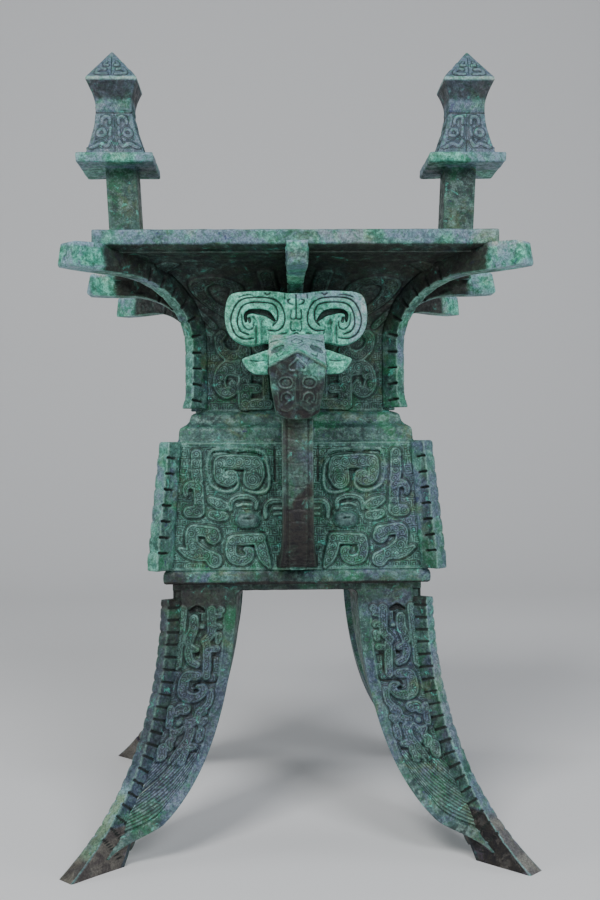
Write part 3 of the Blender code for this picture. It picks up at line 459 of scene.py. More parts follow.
def grid_object(points, attributes, ring=False):
    """A tube of faces over a grid of points: a ring without ends, or closed with fans at both ends."""
    rows, columns, _ = points.shape
    index = np.arange(rows * columns).reshape(rows, columns)
    index = np.concatenate([index, index[:, :1]], 1)
    vertices = points.reshape(-1, 3)
    fields = {key: value.reshape(-1, 3) for key, value in attributes.items()}
    fields.setdefault("tint", np.zeros(vertices.shape))
    fans = np.zeros((0, 3), int)
    if ring:
        index = np.concatenate([index, index[:1]], 0)
    else:
        low, high = index[0], index[-1]
        first = np.full(columns, len(vertices))
        fans = np.vstack([np.stack([low[1:], low[:-1], first], -1),
                          np.stack([high[:-1], high[1:], first + 1], -1)])
        vertices = np.vstack([vertices, points[0].mean(0), points[-1].mean(0)])
        fields = {key: np.vstack([value, value[:1], value[-1:]]) for key, value in fields.items()}
    quads = np.stack([index[:-1, :-1], index[:-1, 1:], index[1:, 1:], index[1:, :-1]], -1).reshape(-1, 4)
    loops = np.concatenate([quads.ravel(), fans.ravel()])
    starts = np.concatenate([np.arange(len(quads)) * 4, len(quads) * 4 + np.arange(len(fans)) * 3])
    return raw_object("part", vertices, loops, starts, fields)


def joined(name, parts):
    """One object out of several, with their attributes."""
    arrays = {key: [] for key in ("co", "loops", "starts", "form", "plan", "swirl", "tint")}
    offset = 0
    loop_offset = 0
    for part in parts:
        mesh = part.data
        arrays["co"].append(read(mesh.vertices, "co"))
        arrays["loops"].append(read(mesh.loops, "vertex_index", 1, np.int32) + offset)
        arrays["starts"].append(read(mesh.polygons, "loop_start", 1, np.int32) + loop_offset)
        for key in ("form", "plan", "swirl", "tint"):
            arrays[key].append(read(mesh.attributes[key].data, "vector"))
        offset += len(mesh.vertices)
        loop_offset += len(mesh.loops)
        bpy.data.objects.remove(part)
    fields = {key: np.concatenate(value) for key, value in arrays.items()}
    return raw_object(name, fields.pop("co"), fields.pop("loops"), fields.pop("starts"), fields)


def turn_of(quarter):
    """The rotation of a quarter turn as an array. Half a quarter more leads to a corner."""
    return np.array(Matrix.Rotation(quarter * math.pi / 2, 3, "Z"))


# The square body

def square_shell(profile, columns, carve, ring=False, place=None, ratio=1.0):
    """A square ring of faces along a profile of (half width, z).

    columns gives the points across a quarter, and across the front one. carve(quarter, x, z, half)
    gives the height and the attributes for a block of points. place is a 4 x 4 array that moves
    the shell, and ratio its depth along y against its width along x.
    """
    profile = np.array(profile, float)
    ahead = np.roll(profile, -1, axis=0) - np.roll(profile, 1, axis=0)
    if not ring:
        ahead[0] = profile[1] - profile[0]
        ahead[-1] = profile[-1] - profile[-2]
    ahead /= np.maximum(np.linalg.norm(ahead, axis=1), 1e-9)[:, None]
    half, level = profile[:, :1], profile[:, 1:]
    blocks = []
    for quarter in range(4):
        share = np.linspace(-1, 1, columns[quarter == FRONT] + 1)[:-1]
        x = share * half
        high, fields = carve(quarter, x, level + 0 * x, half)
        high = high / 1000 * smooth((1 - np.abs(share)) / 0.03)
        points = np.stack([x, -(half + high * ahead[:, 1:]), level - high * ahead[:, :1]], -1)
        blocks.append({"points": points @ turn_of(quarter + 1).T, **fields})
    fields = {key: np.concatenate([block[key] for block in blocks], 1) for key in blocks[0]}
    points = fields.pop("points")
    points[..., 1] *= ratio
    if place is not None:
        points = points @ place[:3, :3].T + place[:3, 3]
    return grid_object(points, fields, ring)


def plain(depth, scale, seed, seeds_differ=False):
    """A carve function for a plain wall with soft wear, which differs from quarter to quarter."""
    def carve(quarter, x, z, half):
        high, fields = bare(1000 * x, 1000 * z)
        if seeds_differ:
            return high + depth * wave(x, z, 0 * x, scale, seed + quarter), fields
        return high + depth * wave(x, z, 0 * x + quarter, scale, seed), fields

    return carve


def belly():
    """The four carved faces of the belly, as a closed ring."""
    foot = BELLY_FOOT_HALF
    top = BELLY_TOP_HALF
    profile = np.vstack([
        resampled(stations(foot, BELLY_Z, (-ROOT * 1000, -0.1), (-0.6, -0.1), (0.0, 0.6)), 0.0010)[:-1],
        resampled(stations(foot, BELLY_Z, (0.0, 0.6)) + stations(top, SHOULDER_Z, (0.0, -0.8)), 0.00085),
        stations(top, SHOULDER_Z, (-0.8, 0.0), (-2.0, 0.0), (-2.4, -1.0))
        + stations(foot, BELLY_Z, (-2.4, 1.0)),
    ])
    rows = wider(BELLY_MASK, 1.8)

    def carve(quarter, x, z, half):
        up = 1000 * (z - BELLY_Z)
        high, fields = both_halves(1000 * x, up, rows, smooth(up - 2.0) * smooth(98.5 - up))
        worn = 0.10 * wave(x, up / 1000, 0 * x, 330, 40 + quarter)
        return (high + worn) * smooth((half - top + 0.0004) / 0.0003), fields

    return square_shell(profile, (170, 216), carve, True)


def base():
    """Floor, recess, base band, shoulder and the inside of the belly, as one closed cup."""
    low = resampled([
        *stations(RECESS_HALF, LEG_HEIGHT, (-0.8, 0.0), (0.0, 0.8)),
        *stations(RECESS_HALF, BAND_Z, (0.0, -0.3)),
        *stations(BAND_HALF, BAND_Z, (-2.2, 0.0), (-0.8, 0.8), (-0.2, 2.4), (0.0, 5.2)),
        *stations(BAND_HALF, BELLY_Z, (-0.2, -3.2), (-0.9, -1.2), (-2.0, -0.3)),
        *stations(BELLY_FOOT_HALF, BELLY_Z, (-1.6, -0.1)),
    ], 0.0013)
    high = resampled([
        *stations(BELLY_TOP_HALF, SHOULDER_Z, (-1.6, -0.8)),
        *stations(SHOULDER_HALF, SHOULDER_Z, (0.6, 0.2), (-0.8, 2.0), (-1.4, 9.6), (-2.2, 11.6), (-4.2, 13.0),
                  (-7.2, 14.8), (-9.0, 17.0), (-9.8, 20.0), (-10.6, 22.2), (-12.6, 23.6)),
        *stations(NECK_HALF, NECK_Z, (1.0, -0.2), (-2.0, 0.0)),
    ], 0.0014)
    inside = resampled([
        (NECK_HALF - WALL, NECK_Z - 0.0020),
        (BELLY_TOP_HALF - WALL, SHOULDER_Z - WALL),
        *stations(BELLY_FOOT_HALF - WALL, LEG_HEIGHT + FLOOR, (0.0, 4.0), (-4.0, 0.0)),
        (0.0020, LEG_HEIGHT + FLOOR),
    ], 0.0110)
    under = resampled([(0.0020, LEG_HEIGHT), low[0]], 0.0120)[:-1]
    return square_shell(np.vstack([under, low, high, inside]), (72, 90), plain(0.14, 330, 50, True))


def flare_arc(deeper, steps):
    """The arc from the upright neck wall out to the rim."""
    turn = np.linspace(0.0, math.pi / 2, steps + 1)
    radius = FLARE_RADIUS + deeper
    return np.stack([NECK_HALF + FLARE_RADIUS - radius * np.cos(turn), FLARE_Z + radius * np.sin(turn)], 1)


def neck():
    """The carved outside of the neck and the flare, as a closed ring."""
    wall = resampled(stations(NECK_HALF, NECK_Z, (0.0, -3.0)) + [(NECK_HALF, FLARE_Z)], 0.0009)[:-1]
    profile = np.vstack([wall, flare_arc(0.0, 84), flare_arc(0.0020, 6)[::-1],
                         stations(NECK_HALF, NECK_Z, (-2.0, -3.0))])
    arc = lengths(profile)[:, None] - 0.0030
    shown = np.s_[:len(wall) + 85]
    rows = wider(NECK_DRAGON, 1.4) + FLARE_CURLS

    def carve(quarter, x, z, half):
        up = 1000 * arc + 0 * x
        high, fields = bare(1000 * x, up)
        stretch = 1.0 + smooth((up - 53.0) / 100.0) * 0.9
        ground = smooth(up - 1.5) * smooth((66.0 - up) / 6.0) * 0.9
        carved, marks = both_halves((1000 * x / stretch)[shown], up[shown], rows, ground[shown])
        for key, value in marks.items():
            fields[key][shown] = value
        high[shown] = carved + 0.16 * wave(x, z, 0 * x + quarter, 260, 21)[shown]
        return high * smooth((155.0 - up) / 6.0), fields

    return square_shell(profile, (98, 160), carve, True)


def rim():
    """The rim with its lip, and the inside of the neck, as a closed ring."""
    outside = resampled([
        *stations(NECK_HALF + FLARE_RADIUS, RIM_Z, (-3.0, -3.5)),
        *stations(RIM_HALF, RIM_Z, (-4.0, -1.0), (-1.0, 0.2), (0.0, 1.2)),
        *stations(RIM_HALF, RIM_TOP, (0.0, -1.2), (-0.4, -0.4), (-1.4, 0.0)),
        *stations(RIM_HALF - LIP, RIM_TOP, (1.0, 0.0), (0.0, -1.0)),
        *stations(RIM_HALF - LIP, RIM_Z, (0.0, 1.5)),
    ], 0.0012)[:-1]
    inner = resampled(flare_arc(WALL, 20)[::-1], 0.0060)
    down = resampled([(NECK_HALF - WALL, FLARE_Z), (NECK_HALF - WALL, NECK_Z - 0.0030)], 0.0090)[1:]
    foot = stations(NECK_HALF, NECK_Z, (-1.5, -3.0))
    profile = np.vstack([outside, inner, down, foot, flare_arc(0.0015, 10)])
    shown = np.arange(len(profile))[:, None] < len(outside)

    def carve(quarter, x, z, half):
        _, fields = bare(1000 * x, 1000 * z)
        worn = 0.12 * wave(x, z, 0 * x + quarter, 260, 23) + 0.08 * wave(x, z, 0 * x, 700, 24)
        chips = 0.9 * smooth(1.6 * wave(x, z, 0 * x + quarter, 190, 5) - 1.35)
        return np.where(shown, worn - chips, 0.0), fields

    return square_shell(profile, (96, 110), carve, True)


# Flanges

def rib_of(rows, step):
    """A rib's outer points, inner points and thicknesses at even steps, from rows of five numbers."""
    fine = resampled(rows, step)
    return fine[:, 0:2], fine[:, 2:4], fine[:, 4]


def sweep(rib, quarter, slots, slot_from=0.30, deep=0.0022, carve=None, pale=0.30, shade=0.0, lift=0.85):
    """A rib along a path in the plane of x and z, with slots cut across its sides.

    rib holds the points along the outer edge, those along the inner edge and the thickness
    there. slots are the lengths along the outer edge at which a slot is cut. pale lightens the
    outer edge, lift takes dark off it, and shade paints shade on the sides.
    """
    outer, inner, thick = rib
    length = lengths(outer)[:, None]
    even = [np.convolve(np.pad(column, 14, "edge"), np.full(29, 1 / 29), "valid") for column in outer.T]
    way = np.gradient(np.stack(even, 1), axis=0)
    way /= np.maximum(np.linalg.norm(way, axis=1), 1e-9)[:, None]
    line = outer - inner
    lag = np.einsum("ij,ij->i", line, way)[:, None]
    half = [(share, 1.0) for share in np.linspace(0.0, 0.90, 10)]
    half += [(0.955, 1.0), (0.992, 0.94), (1.0, 0.80), (1.0, 0.42), (1.0, 0.0)]
    a, b = np.array(half + [(a, -b) for a, b in reversed(half[:-1])]).T
    along = length - lag * (1 - a)
    cut = np.zeros(along.shape)
    for s in slots:
        cut = np.maximum(cut, smooth((0.00115 - np.abs(along - s)) / 0.0007))
    notch = cut * smooth((a - slot_from) / 0.07) * smooth((np.abs(b) - 0.86) / 0.08)
    rough = 0.00016 * wave(length + 0 * a, a * 0.02, b * 0.01, 420, 91)
    at = a + 0 * length
    x = inner[:, :1] + line[:, :1] * at
    z = inner[:, 1:] + line[:, 1:] * at
    raised = carve(1000 * x, 1000 * z) if carve else 0 * at
    wide = thick[:, None] / 2 * b - np.sign(b) * notch * deep
    wide = wide + np.sign(b) * np.where(np.abs(b) > 0.99, raised / 1000 + rough, rough * 0.5)
    points = np.stack([x, wide, z], -1)
    _, fields = bare(1000 * x, 1000 * z)
    fields["form"][..., 2] = raised - 2.2 * notch
    edge = smooth((at - 0.955) / 0.04)
    # A lighter outer edge, and painted shade on the sides
    fields["tint"] = np.stack([pale * edge, 0.25 * edge, shade * (1 - edge) - lift * edge], -1)
    return grid_object(points @ turn_of(quarter).T, fields)


def tip_curl(right, low, run):
    """The engraved outline and curl on the sides of a neck flange's tip, in millimetres."""
    outline = [(-run, -3.0, 1.6), (-0.5 * run, 0.4, 1.6), (-0.15 * run, 0.9, 1.6), (-1.5, 3.4, 1.6),
               (-3.4, 9.8, 1.6), (-0.3 * run, 9.0, 1.6), (-0.75 * run, 4.0, 1.4)]
    curl = [(-0.66 * run, 3.4, 1.3), (-0.30 * run, 4.6, 1.6), (-7.2, 5.8, 1.6), (-9.6, 3.8, 1.2)]
    return [("line", 0.8, np.array(path) + (right, low, 0)) for path in (outline, curl)]


def neck_flange(quarter, corner):
    """One flange of the neck, up the wall and out under the flare to its tip."""
    stretch = DIAGONAL if corner else 1.0
    low = NECK_Z + 0.0025
    wall = (NECK_HALF - ROOT) * stretch
    out = (0.0124 if corner else 0.0095) + NECK_HALF * stretch
    tip_x = RIM_HALF * stretch + (0.0258 if corner else 0.0267)
    run = tip_x - 0.0380 * stretch - out
    under = RIM_Z - 0.0195
    top = RIM_Z + 0.0010
    thin, thick = 0.0100, 0.0165
    rows = [(x, z, wall, z, thin) for x, z in (
        *stations(out, low, (3.0, 0.0), (3.5, 1.0), (1.2, 7.0), (0.0, 12.0)), (out, FLARE_Z))]
    for k, (x, z) in enumerate(flare_arc(ROOT, 24)[1:], 1):
        angle = math.radians(90 * k / 24)
        rows.append((out + run * (1 - math.cos(angle)), FLARE_Z + (under - FLARE_Z) * math.sin(angle),
                     x * stretch, z, thin + (thick - thin) * k / 36))
    out_x, out_z, in_x, in_z, _ = rows[-1]
    for t in np.arange(1, 9) / 8:
        rows.append((out_x + (tip_x - 0.0022 - out_x) * t, out_z + 0.0010 * t**3,
                     in_x + (tip_x - 0.0048 - in_x) * t,
                     in_z + (top - in_z) * min(1.0, 4 * t) - 0.0012 * t**3,
                     0.0143 + 0.0022 * min(1.0, 2 * t)))
    rows.append((tip_x - 0.0008, under + 0.0022, tip_x - 0.0033, top - 0.0024, 0.0158))
    rows.append((tip_x - 0.0004, under + 0.0042, tip_x - 0.0028, top - 0.0046, 0.0146))
    lines = tip_curl(tip_x * 1000 - 3.2, under * 1000 + 3.4, 46.0 * stretch)

    def carve(x, z):
        return relief(x, z, lines)[0] - 0.5 * smooth((x - tip_x * 1000 + 52 * stretch) / 4.0)

    slots = 0.0076 + SLOT_PITCH * np.arange(10 if corner else 9)
    return sweep(rib_of(rows, 0.0010), quarter + 0.5 * corner, slots, carve=carve)


def belly_flange(quarter, corner):
    """One flange of the belly."""
    stretch = DIAGONAL if corner else 1.0
    outer, inner, thick = rib_of([
        (half * stretch + (out if corner else 0.0110), z + 0.0009,
         (half - ROOT) * stretch, z + 0.0009, 0.0125)
        for half, out, z in ((BELLY_TOP_HALF, 0.0096, SHOULDER_Z), (BELLY_FOOT_HALF, 0.0139, BELLY_Z))
    ], 0.00085)
    s = np.linspace(0.0, 1.0, len(outer))
    ragged = 0.0005 * np.sin(s * 50.3) + 0.0004 * wave(s, s, s, 41, 3 + quarter)
    near_end = 1 - smooth(np.minimum(s, 1 - s) / 0.012)
    outer[:, 0] += np.clip(ragged, -0.0009, 0.0002) - 0.0010 * near_end
    pale, lift = (0.12, 0.45) if corner and quarter in (0, 3) else (0.30, 0.85)
    rib = (outer, inner, thick - 0.0018 * near_end)
    return sweep(rib, quarter + 0.5 * corner, SLOT_PITCH * np.arange(1, 8), pale=pale, lift=lift)


# Legs

def leg_corner(z):
    """Where the leg's outer corner stands at the height z, along X and along Y alike."""
    t = 1 - z / LEG_HEIGHT
    return 0.0990 + 0.0715 * (0.705 * t**2 + 0.295 * t**6)


def fillet(z, radius):
    """How much a rounded root adds to the leg just under the vessel."""
    return np.maximum(0.0, radius - (LEG_HEIGHT - z))**2 / radius


def leg(quarter, fine):
    """One leg: two carved faces, and two plain ones that meet in a ridge inside."""
    end = 0.0095
    top = LEG_HEIGHT + 0.0030
    z = top - (top - end) * np.linspace(0.0, 1.0, 190 if fine else 112)[:, None]
    t = 1 - z / LEG_HEIGHT
    level = np.minimum(z, LEG_HEIGHT)
    down = 1 - level / LEG_HEIGHT
    corner = leg_corner(level)
    inner = corner - 0.0500 * (1 - 0.08 * down**2 - 0.56 * down**8) - fillet(level, 0.0045)
    ridge = inner - 0.0030 + 0.0180 * down**2 - fillet(level, 0.0110)
    near_end = smooth((0.0300 - z) / 0.0205)
    inner = inner + near_end * (corner - 0.0165 - inner)
    ridge = ridge + near_end * (corner - 0.0300 - ridge)
    face = corner - 0.0042 * smooth((0.0400 - z) / 0.0180)
    slope = np.gradient(corner[:, 0], z[:, 0])[:, None]
    u = np.linspace(0.0, 1.0, 59 if fine else 41)
    across = inner + (corner - inner) * u
    x_mm = (across - inner) * 1000
    z_mm = z * 1000 + 0 * u
    from_corner = (corner - across) * 1000
    ground = smooth((x_mm - 9.0) / 1.5) * smooth((z_mm - 84.0) / 6.0) * smooth((191.0 - z_mm) / 3.0)
    high, fields = relief(x_mm, z_mm, wider(LEG_DRAGON, 1.0, 2.0), ground)
    phase, inside, cut = feathers(x_mm, z_mm, from_corner)
    keep = smooth((x_mm - 1.0) / 2.0) * smooth((z_mm - 68.0) / 6.0)
    high = 1.2 * high * keep + 0.30 * inside - cut
    edge = np.where(keep < 0.5, FAR, fields["form"][..., 0])
    fields["form"][..., 0] = np.where((inside > 0.5) & (high < 0.6), phase - 20 * PITCH, edge)
    fields["swirl"][keep < 0.5] = 0.0
    high = high * smooth(from_corner / 3.0)
    fields["form"][..., 2] = high
    rough = 0.14 * wave(x_mm / 1000, z_mm / 1000, 0 * x_mm, 300, 60 + quarter)
    rib = (9.5 + 2.0 * t + 4.8 * np.maximum(t, 0.0)**8) / DIAGONAL
    trough = 1.7 * smooth(rib - 0.4 - from_corner)
    lift = (high + rough - trough) / 1000 * smooth((u * (1 - u)) / 0.02) / np.hypot(1.0, slope)
    carved = np.stack([across, face + lift, z - lift * slope], -1)
    v = np.linspace(0.0, 1.0, 13)[1:]
    other = face + (ridge - face) * v - 0.0012 * np.sin(v * math.pi)
    hidden = np.stack([inner + (ridge - inner) * v, other, z - near_end * v * 0.25 * end], -1)
    blank = np.zeros(hidden.shape)
    parts = {"points": (hidden, carved), "form": (blank + (FAR, 0, 0), fields["form"]),
             "plan": (blank, fields["plan"]), "swirl": (blank, fields["swirl"])}
    around = {}
    for key, (back, front) in parts.items():
        swap = [1, 0, 2] if key == "points" else [0, 1, 2]
        around[key] = np.concatenate([back[:, ::-1], front, front[:, -2::-1, swap], back[:, :-1, swap]], 1)
    return grid_object(around.pop("points") @ turn_of(quarter).T, around)


def feathers(from_inner, z, from_corner):
    """The long lines that fan down to the flange: their phase in mm, where they are, and the cuts."""
    at = [0.0, 8.0, 16.0, 24.0, 30.0, 40.0]
    groove = np.interp(from_corner, at, [45.0, 52.0, 61.5, 74.5, 86.0, 105.0])
    bottom = np.interp(from_corner, at, [20.0, 24.0, 27.0, 31.0, 37.0, 62.0])
    slope = np.hypot(1.0, np.interp(from_corner, [4.0, 12.0, 20.0, 27.0, 35.0], [0.9, 1.2, 1.6, 1.9, 1.9]))
    below = -10.0 * (groove - z) / np.maximum(groove - bottom, 8.0)
    phase = PITCH * np.where(z < groove, below, (z - groove) / slope / 2.2)
    high = 77.0 + 8.0 * smooth((from_corner - 18.0) / 8.0)
    inside = smooth((high - z) / 2.0) * smooth((z - bottom + 1.0) / 1.5) * smooth(from_inner - 7.0)
    ends = smooth((from_corner - 3.0) / 4.0) * smooth((high - z) / 4.0)
    deep = 1.2 * smooth(0.5 - (np.abs(z - groove) / slope - 0.5) / 0.6) * ends
    foot = 0.9 * smooth(0.5 - (np.abs(z - bottom + 1.0) / 1.3 - 0.5) / 0.7)
    foot = foot * smooth((from_inner - 3.0) / 2.0) * smooth((34.0 - from_corner) / 3.0)
    return phase, inside, np.maximum(deep, foot)


def leg_flange(quarter):
    """The flange down the leg's outer corner, which ends as the foot."""
    z = (LEG_HEIGHT - 0.0060) * (1 - np.linspace(0.0, 1.0, 61) ** 0.9)
    t = 1 - z / LEG_HEIGHT
    edge = leg_corner(z) + 0.0066 - 0.0004 * t - 0.0030 * t**8
    depth = 0.0120 + 0.0220 * np.maximum(0.0, (t - 0.80) / 0.20)
    slope = (leg_corner(z - 0.001) - leg_corner(z + 0.001)) / 0.002 * DIAGONAL
    droop = depth * DIAGONAL * slope * smooth((z - 0.030) / 0.050)
    rows = np.stack([edge * DIAGONAL, z, (edge - depth) * DIAGONAL, z - droop,
                     0.0095 + 0.0020 * t + 0.0048 * t**8], 1)
    outer, inner, thick = rib_of(rows, 0.0009)
    s = np.linspace(0.0, 1.0, len(outer))
    length = s * LEG_FLANGE_LENGTH
    scallop = 0.0011 * np.abs(np.sin(math.pi * (length - 0.0060) / LEG_SLOT_PITCH)) ** 0.6 - 0.0011
    scallop = scallop + 0.0004 * wave(length, 0 * s, 0 * s, 300, 8 + quarter)
    outer[:, 0] += np.clip(scallop, -0.0020, 0.0) * smooth((0.93 - s) / 0.05) * smooth(s / 0.01)
    rib = (outer, inner, thick - 0.0020 * (1 - smooth(s / 0.012)))
    # shade is painted shade on the flange's sides; lift below 0 darkens the left legs' outer edges
    pale, shade, lift = (0.0, 0.20, -0.20) if quarter in (1, 2) else (0.25, 0.38, 0.50)
    slots = 0.0060 + LEG_SLOT_PITCH * np.arange(20)
    return sweep(rib, quarter + 0.5, slots, 0.12, 0.0009, None, pale, shade, lift)


# Posts

def post(side):
    """One capped post: stem, square plate and roof-shaped cap with engraved panels."""
    plate_z = RIM_TOP + 0.0797
    cap_z = plate_z + 0.0086
    height = 0.0957
    stem_half = 0.01325
    plate_half = 0.03295
    slant = side * math.tan(math.radians(3.0))
    lean = np.eye(4)
    lean[0, 2:] = slant, side * POST_X - slant * RIM_TOP
    cap_lean = lean.copy()
    cap_lean[0, 3] += side * 0.0030
    rough = plain(0.28, 240, 31)
    stem = resampled([(stem_half, RIM_Z - 0.0060), (stem_half, plate_z + 0.0043)], 0.0016)
    plate = resampled([
        (0.0010, plate_z),
        *stations(plate_half, plate_z, (-1.2, 0.0), (-0.3, 0.6), (0.0, 1.6)),
        *stations(plate_half, cap_z, (0.0, -1.6), (-0.4, -0.5), (-1.4, 0.0)),
        (0.0010, cap_z),
    ], 0.0020)
    waist = np.arange(1, 31) / 30
    eave = np.arange(1, 15) / 14
    shape = np.vstack([
        stations(0.0, cap_z, (24.8, -1.0), (25.5, 0.6)),
        np.stack([(0.0510 - 0.0200 * np.sin(waist * math.pi / 2)) / 2, cap_z + waist * 0.46 * height], 1),
        np.stack([(0.0310 + 0.0130 * eave**1.7) / 2, cap_z + (0.46 + 0.22 * eave) * height], 1),
        [(half, cap_z + share * height) for half, share in (
            (0.0220, 0.690), (0.0219, 0.700), (0.0214, 0.710))],
    ])
    tip = resampled([shape[-1], (0.0006, cap_z + height - 0.0003)], 0.0009)
    cap = np.vstack([resampled(shape, 0.0011)[:-1], tip])

    def panel(quarter, x, z, half):
        x, up, half = 1000 * x, 1000 * (z - cap_z), 1000 * half
        within = half - np.abs(x)
        ground = smooth(up - 4.0) * smooth(37.0 - up) * smooth((within - 3.6) / 0.8)
        high, fields = both_halves(x / np.where(up < 66, half / 20.0, 1.0), up, CAP_PANEL, ground)
        border = 0.8 * smooth(0.5 - (np.abs(within - 3.0) - 0.4) / 0.5) * smooth(38.0 - up)
        return high + border + 0.15 * wave(x / 1000, up / 1000, 0 * x, 300, 33), fields

    return [
        square_shell(stem, (14, 14), rough, False, lean, 0.0320 / 0.0265),
        square_shell(plate, (30, 30), rough, False, cap_lean),
        square_shell(cap, (52, 52), panel, False, cap_lean),
    ]


# Handle

def strap():
    """The strap, with a raised middle band between two grooves and cross lines."""
    thick = 0.0100
    width, foot_width = 0.0240, 0.0330
    bend = BELLY_Z + 0.0420
    radius = 0.0400
    rows = [(STRAP_REACH, z, STRAP_REACH - thick, z, width) for z in (NECK_Z + 0.0060, bend)]
    for t in np.arange(1, 25) / 24:
        ahead, down = math.cos(t * math.pi / 2), math.sin(t * math.pi / 2)
        rows.append((STRAP_REACH - radius + radius * ahead, bend - radius * down,
                     STRAP_REACH - radius + (radius - thick) * ahead, bend - (radius - thick) * down,
                     width + (foot_width - width) * t**2))
    foot = BELLY_FOOT_HALF - ROOT
    rows.append((foot, bend - radius, foot, bend - radius + thick, foot_width))
    outer, inner, wide = rib_of(rows, 0.0008)
    front = [(1.0, b * 0.95) for b in np.linspace(-1.0, 1.0, 33)]
    right = [(0.97, 0.985), (0.90, 1.0), (0.45, 1.0), (0.10, 1.0), (0.03, 0.985), (0.0, 0.93)]
    left = [(a, -b) for a, b in reversed(right)]
    back = [(0.0, b) for b in (0.6, 0.2, -0.2, -0.6)]
    a, b = np.array(left[-2:] + front + right + back + left[:-2]).T
    s = lengths(outer)[:, None] + 0 * a
    y = b * wide[:, None] / 2
    x = y * 1000
    groove = smooth(0.5 - (np.abs(np.abs(x) - 8.2) - 0.7) / 0.6)
    sag = 0.7 * np.cos(x * 0.36) * np.where(s < 0.075, -1.0, 1.0)
    step = np.abs(((s * 1000 - 10.8 + sag) / 9.0 + 0.5) % 1.0 - 0.5) * 9.0
    cross = smooth(0.5 - (step - 0.55) / 0.5) * smooth((8.8 - np.abs(x)) / 0.6)
    cross = cross * smooth((s - 0.012) / 0.004) * smooth((0.150 - s) / 0.004)
    middle = 0.3 * smooth((7.6 - np.abs(x)) / 0.8)
    high = (a > 0.999) * (middle - 0.6 * groove - 0.5 * cross)
    lift = (high + (a > 0.999) * 0.16 * wave(s, x / 1000, a * 0.01, 330, 71)) / 1000
    line = outer - inner
    unit = line / np.linalg.norm(line, axis=1)[:, None]
    px, pz = (inner[:, k:k + 1] + line[:, k:k + 1] * a + unit[:, k:k + 1] * lift for k in (0, 1))
    _, fields = bare(x, s * 1000)
    fields["form"][..., 2] = high
    # Painted shadow and dirt darken the strap low down, where it curves in under the belly; chips darken it
    # as well
    lower = smooth((0.284 - pz) / 0.022)
    chip = smooth(1.4 * wave(x / 1000, s, 0 * x, 260, 12) - 0.5) * smooth((0.300 - pz) / 0.02)
    fields["tint"] = np.stack([-0.2 * lower, -0.8 + 0 * lower, np.maximum(np.maximum(lower, chip), 0.34)], -1)
    return grid_object(np.stack([px, y, pz], -1) @ turn_of(FRONT).T, fields)


def hull_object(points):
    """The convex solid around a set of points."""
    bm = bmesh.new()
    for point in points:
        bm.verts.new(point)
    found = bmesh.ops.convex_hull(bm, input=bm.verts)
    spare = [v for v in found["geom_interior"] if isinstance(v, bmesh.types.BMVert)]
    bmesh.ops.delete(bm, geom=spare, context="VERTS")
    return from_bmesh("hull", bm)


def slab(outline, place, back, front):
    """A slab with a free outline; place(u, v, n) maps it to the object."""
    bm = bmesh.new()
    low, high = ([bm.verts.new(place(u, v, n)) for u, v in outline] for n in (back, front))
    bm.faces.new(low)
    bm.faces.new(high[::-1])
    for i in range(len(outline)):
        bm.faces.new((low[i - 1], high[i - 1], high[i], low[i]))
    bmesh.ops.triangulate(bm, faces=[f for f in bm.faces if len(f.verts) > 4])
    bmesh.ops.recalc_face_normals(bm, faces=bm.faces)
    return from_bmesh("slab", bm)


def modified(made, kind, **options):
    """Add a modifier with its options to an object."""
    modifier = made.modifiers.new(kind.lower(), kind)
    for key, value in options.items():
        setattr(modifier, key, value)


def baked(made):
    """The mesh of an object with its modifiers applied."""
    bpy.context.view_layer.update()
    return bpy.data.meshes.new_from_object(made.evaluated_get(bpy.context.evaluated_depsgraph_get()))


HORN_OUTLINE = [
    (0.0, 0.95), (0.12, 0.955), (0.28, 0.985), (0.50, 1.00), (0.70, 0.99), (0.84, 0.965), (0.92, 0.925),
    (0.965, 0.84), (0.99, 0.70), (1.0, 0.52), (0.985, 0.35), (0.93, 0.19), (0.84, 0.08), (0.72, 0.015),
    (0.60, 0.0), (0.50, 0.03), (0.40, 0.05), (0.0, 0.05),
]
EAR_OUTLINE = [
    (0.80, 0.08), (1.20, 0.06), (1.45, 0.07), (1.62, 0.14), (1.76, 0.27), (1.87, 0.44), (1.94, 0.60),
    (1.88, 0.67), (1.60, 0.78), (1.30, 0.89), (1.12, 0.96), (0.80, 1.0),
]


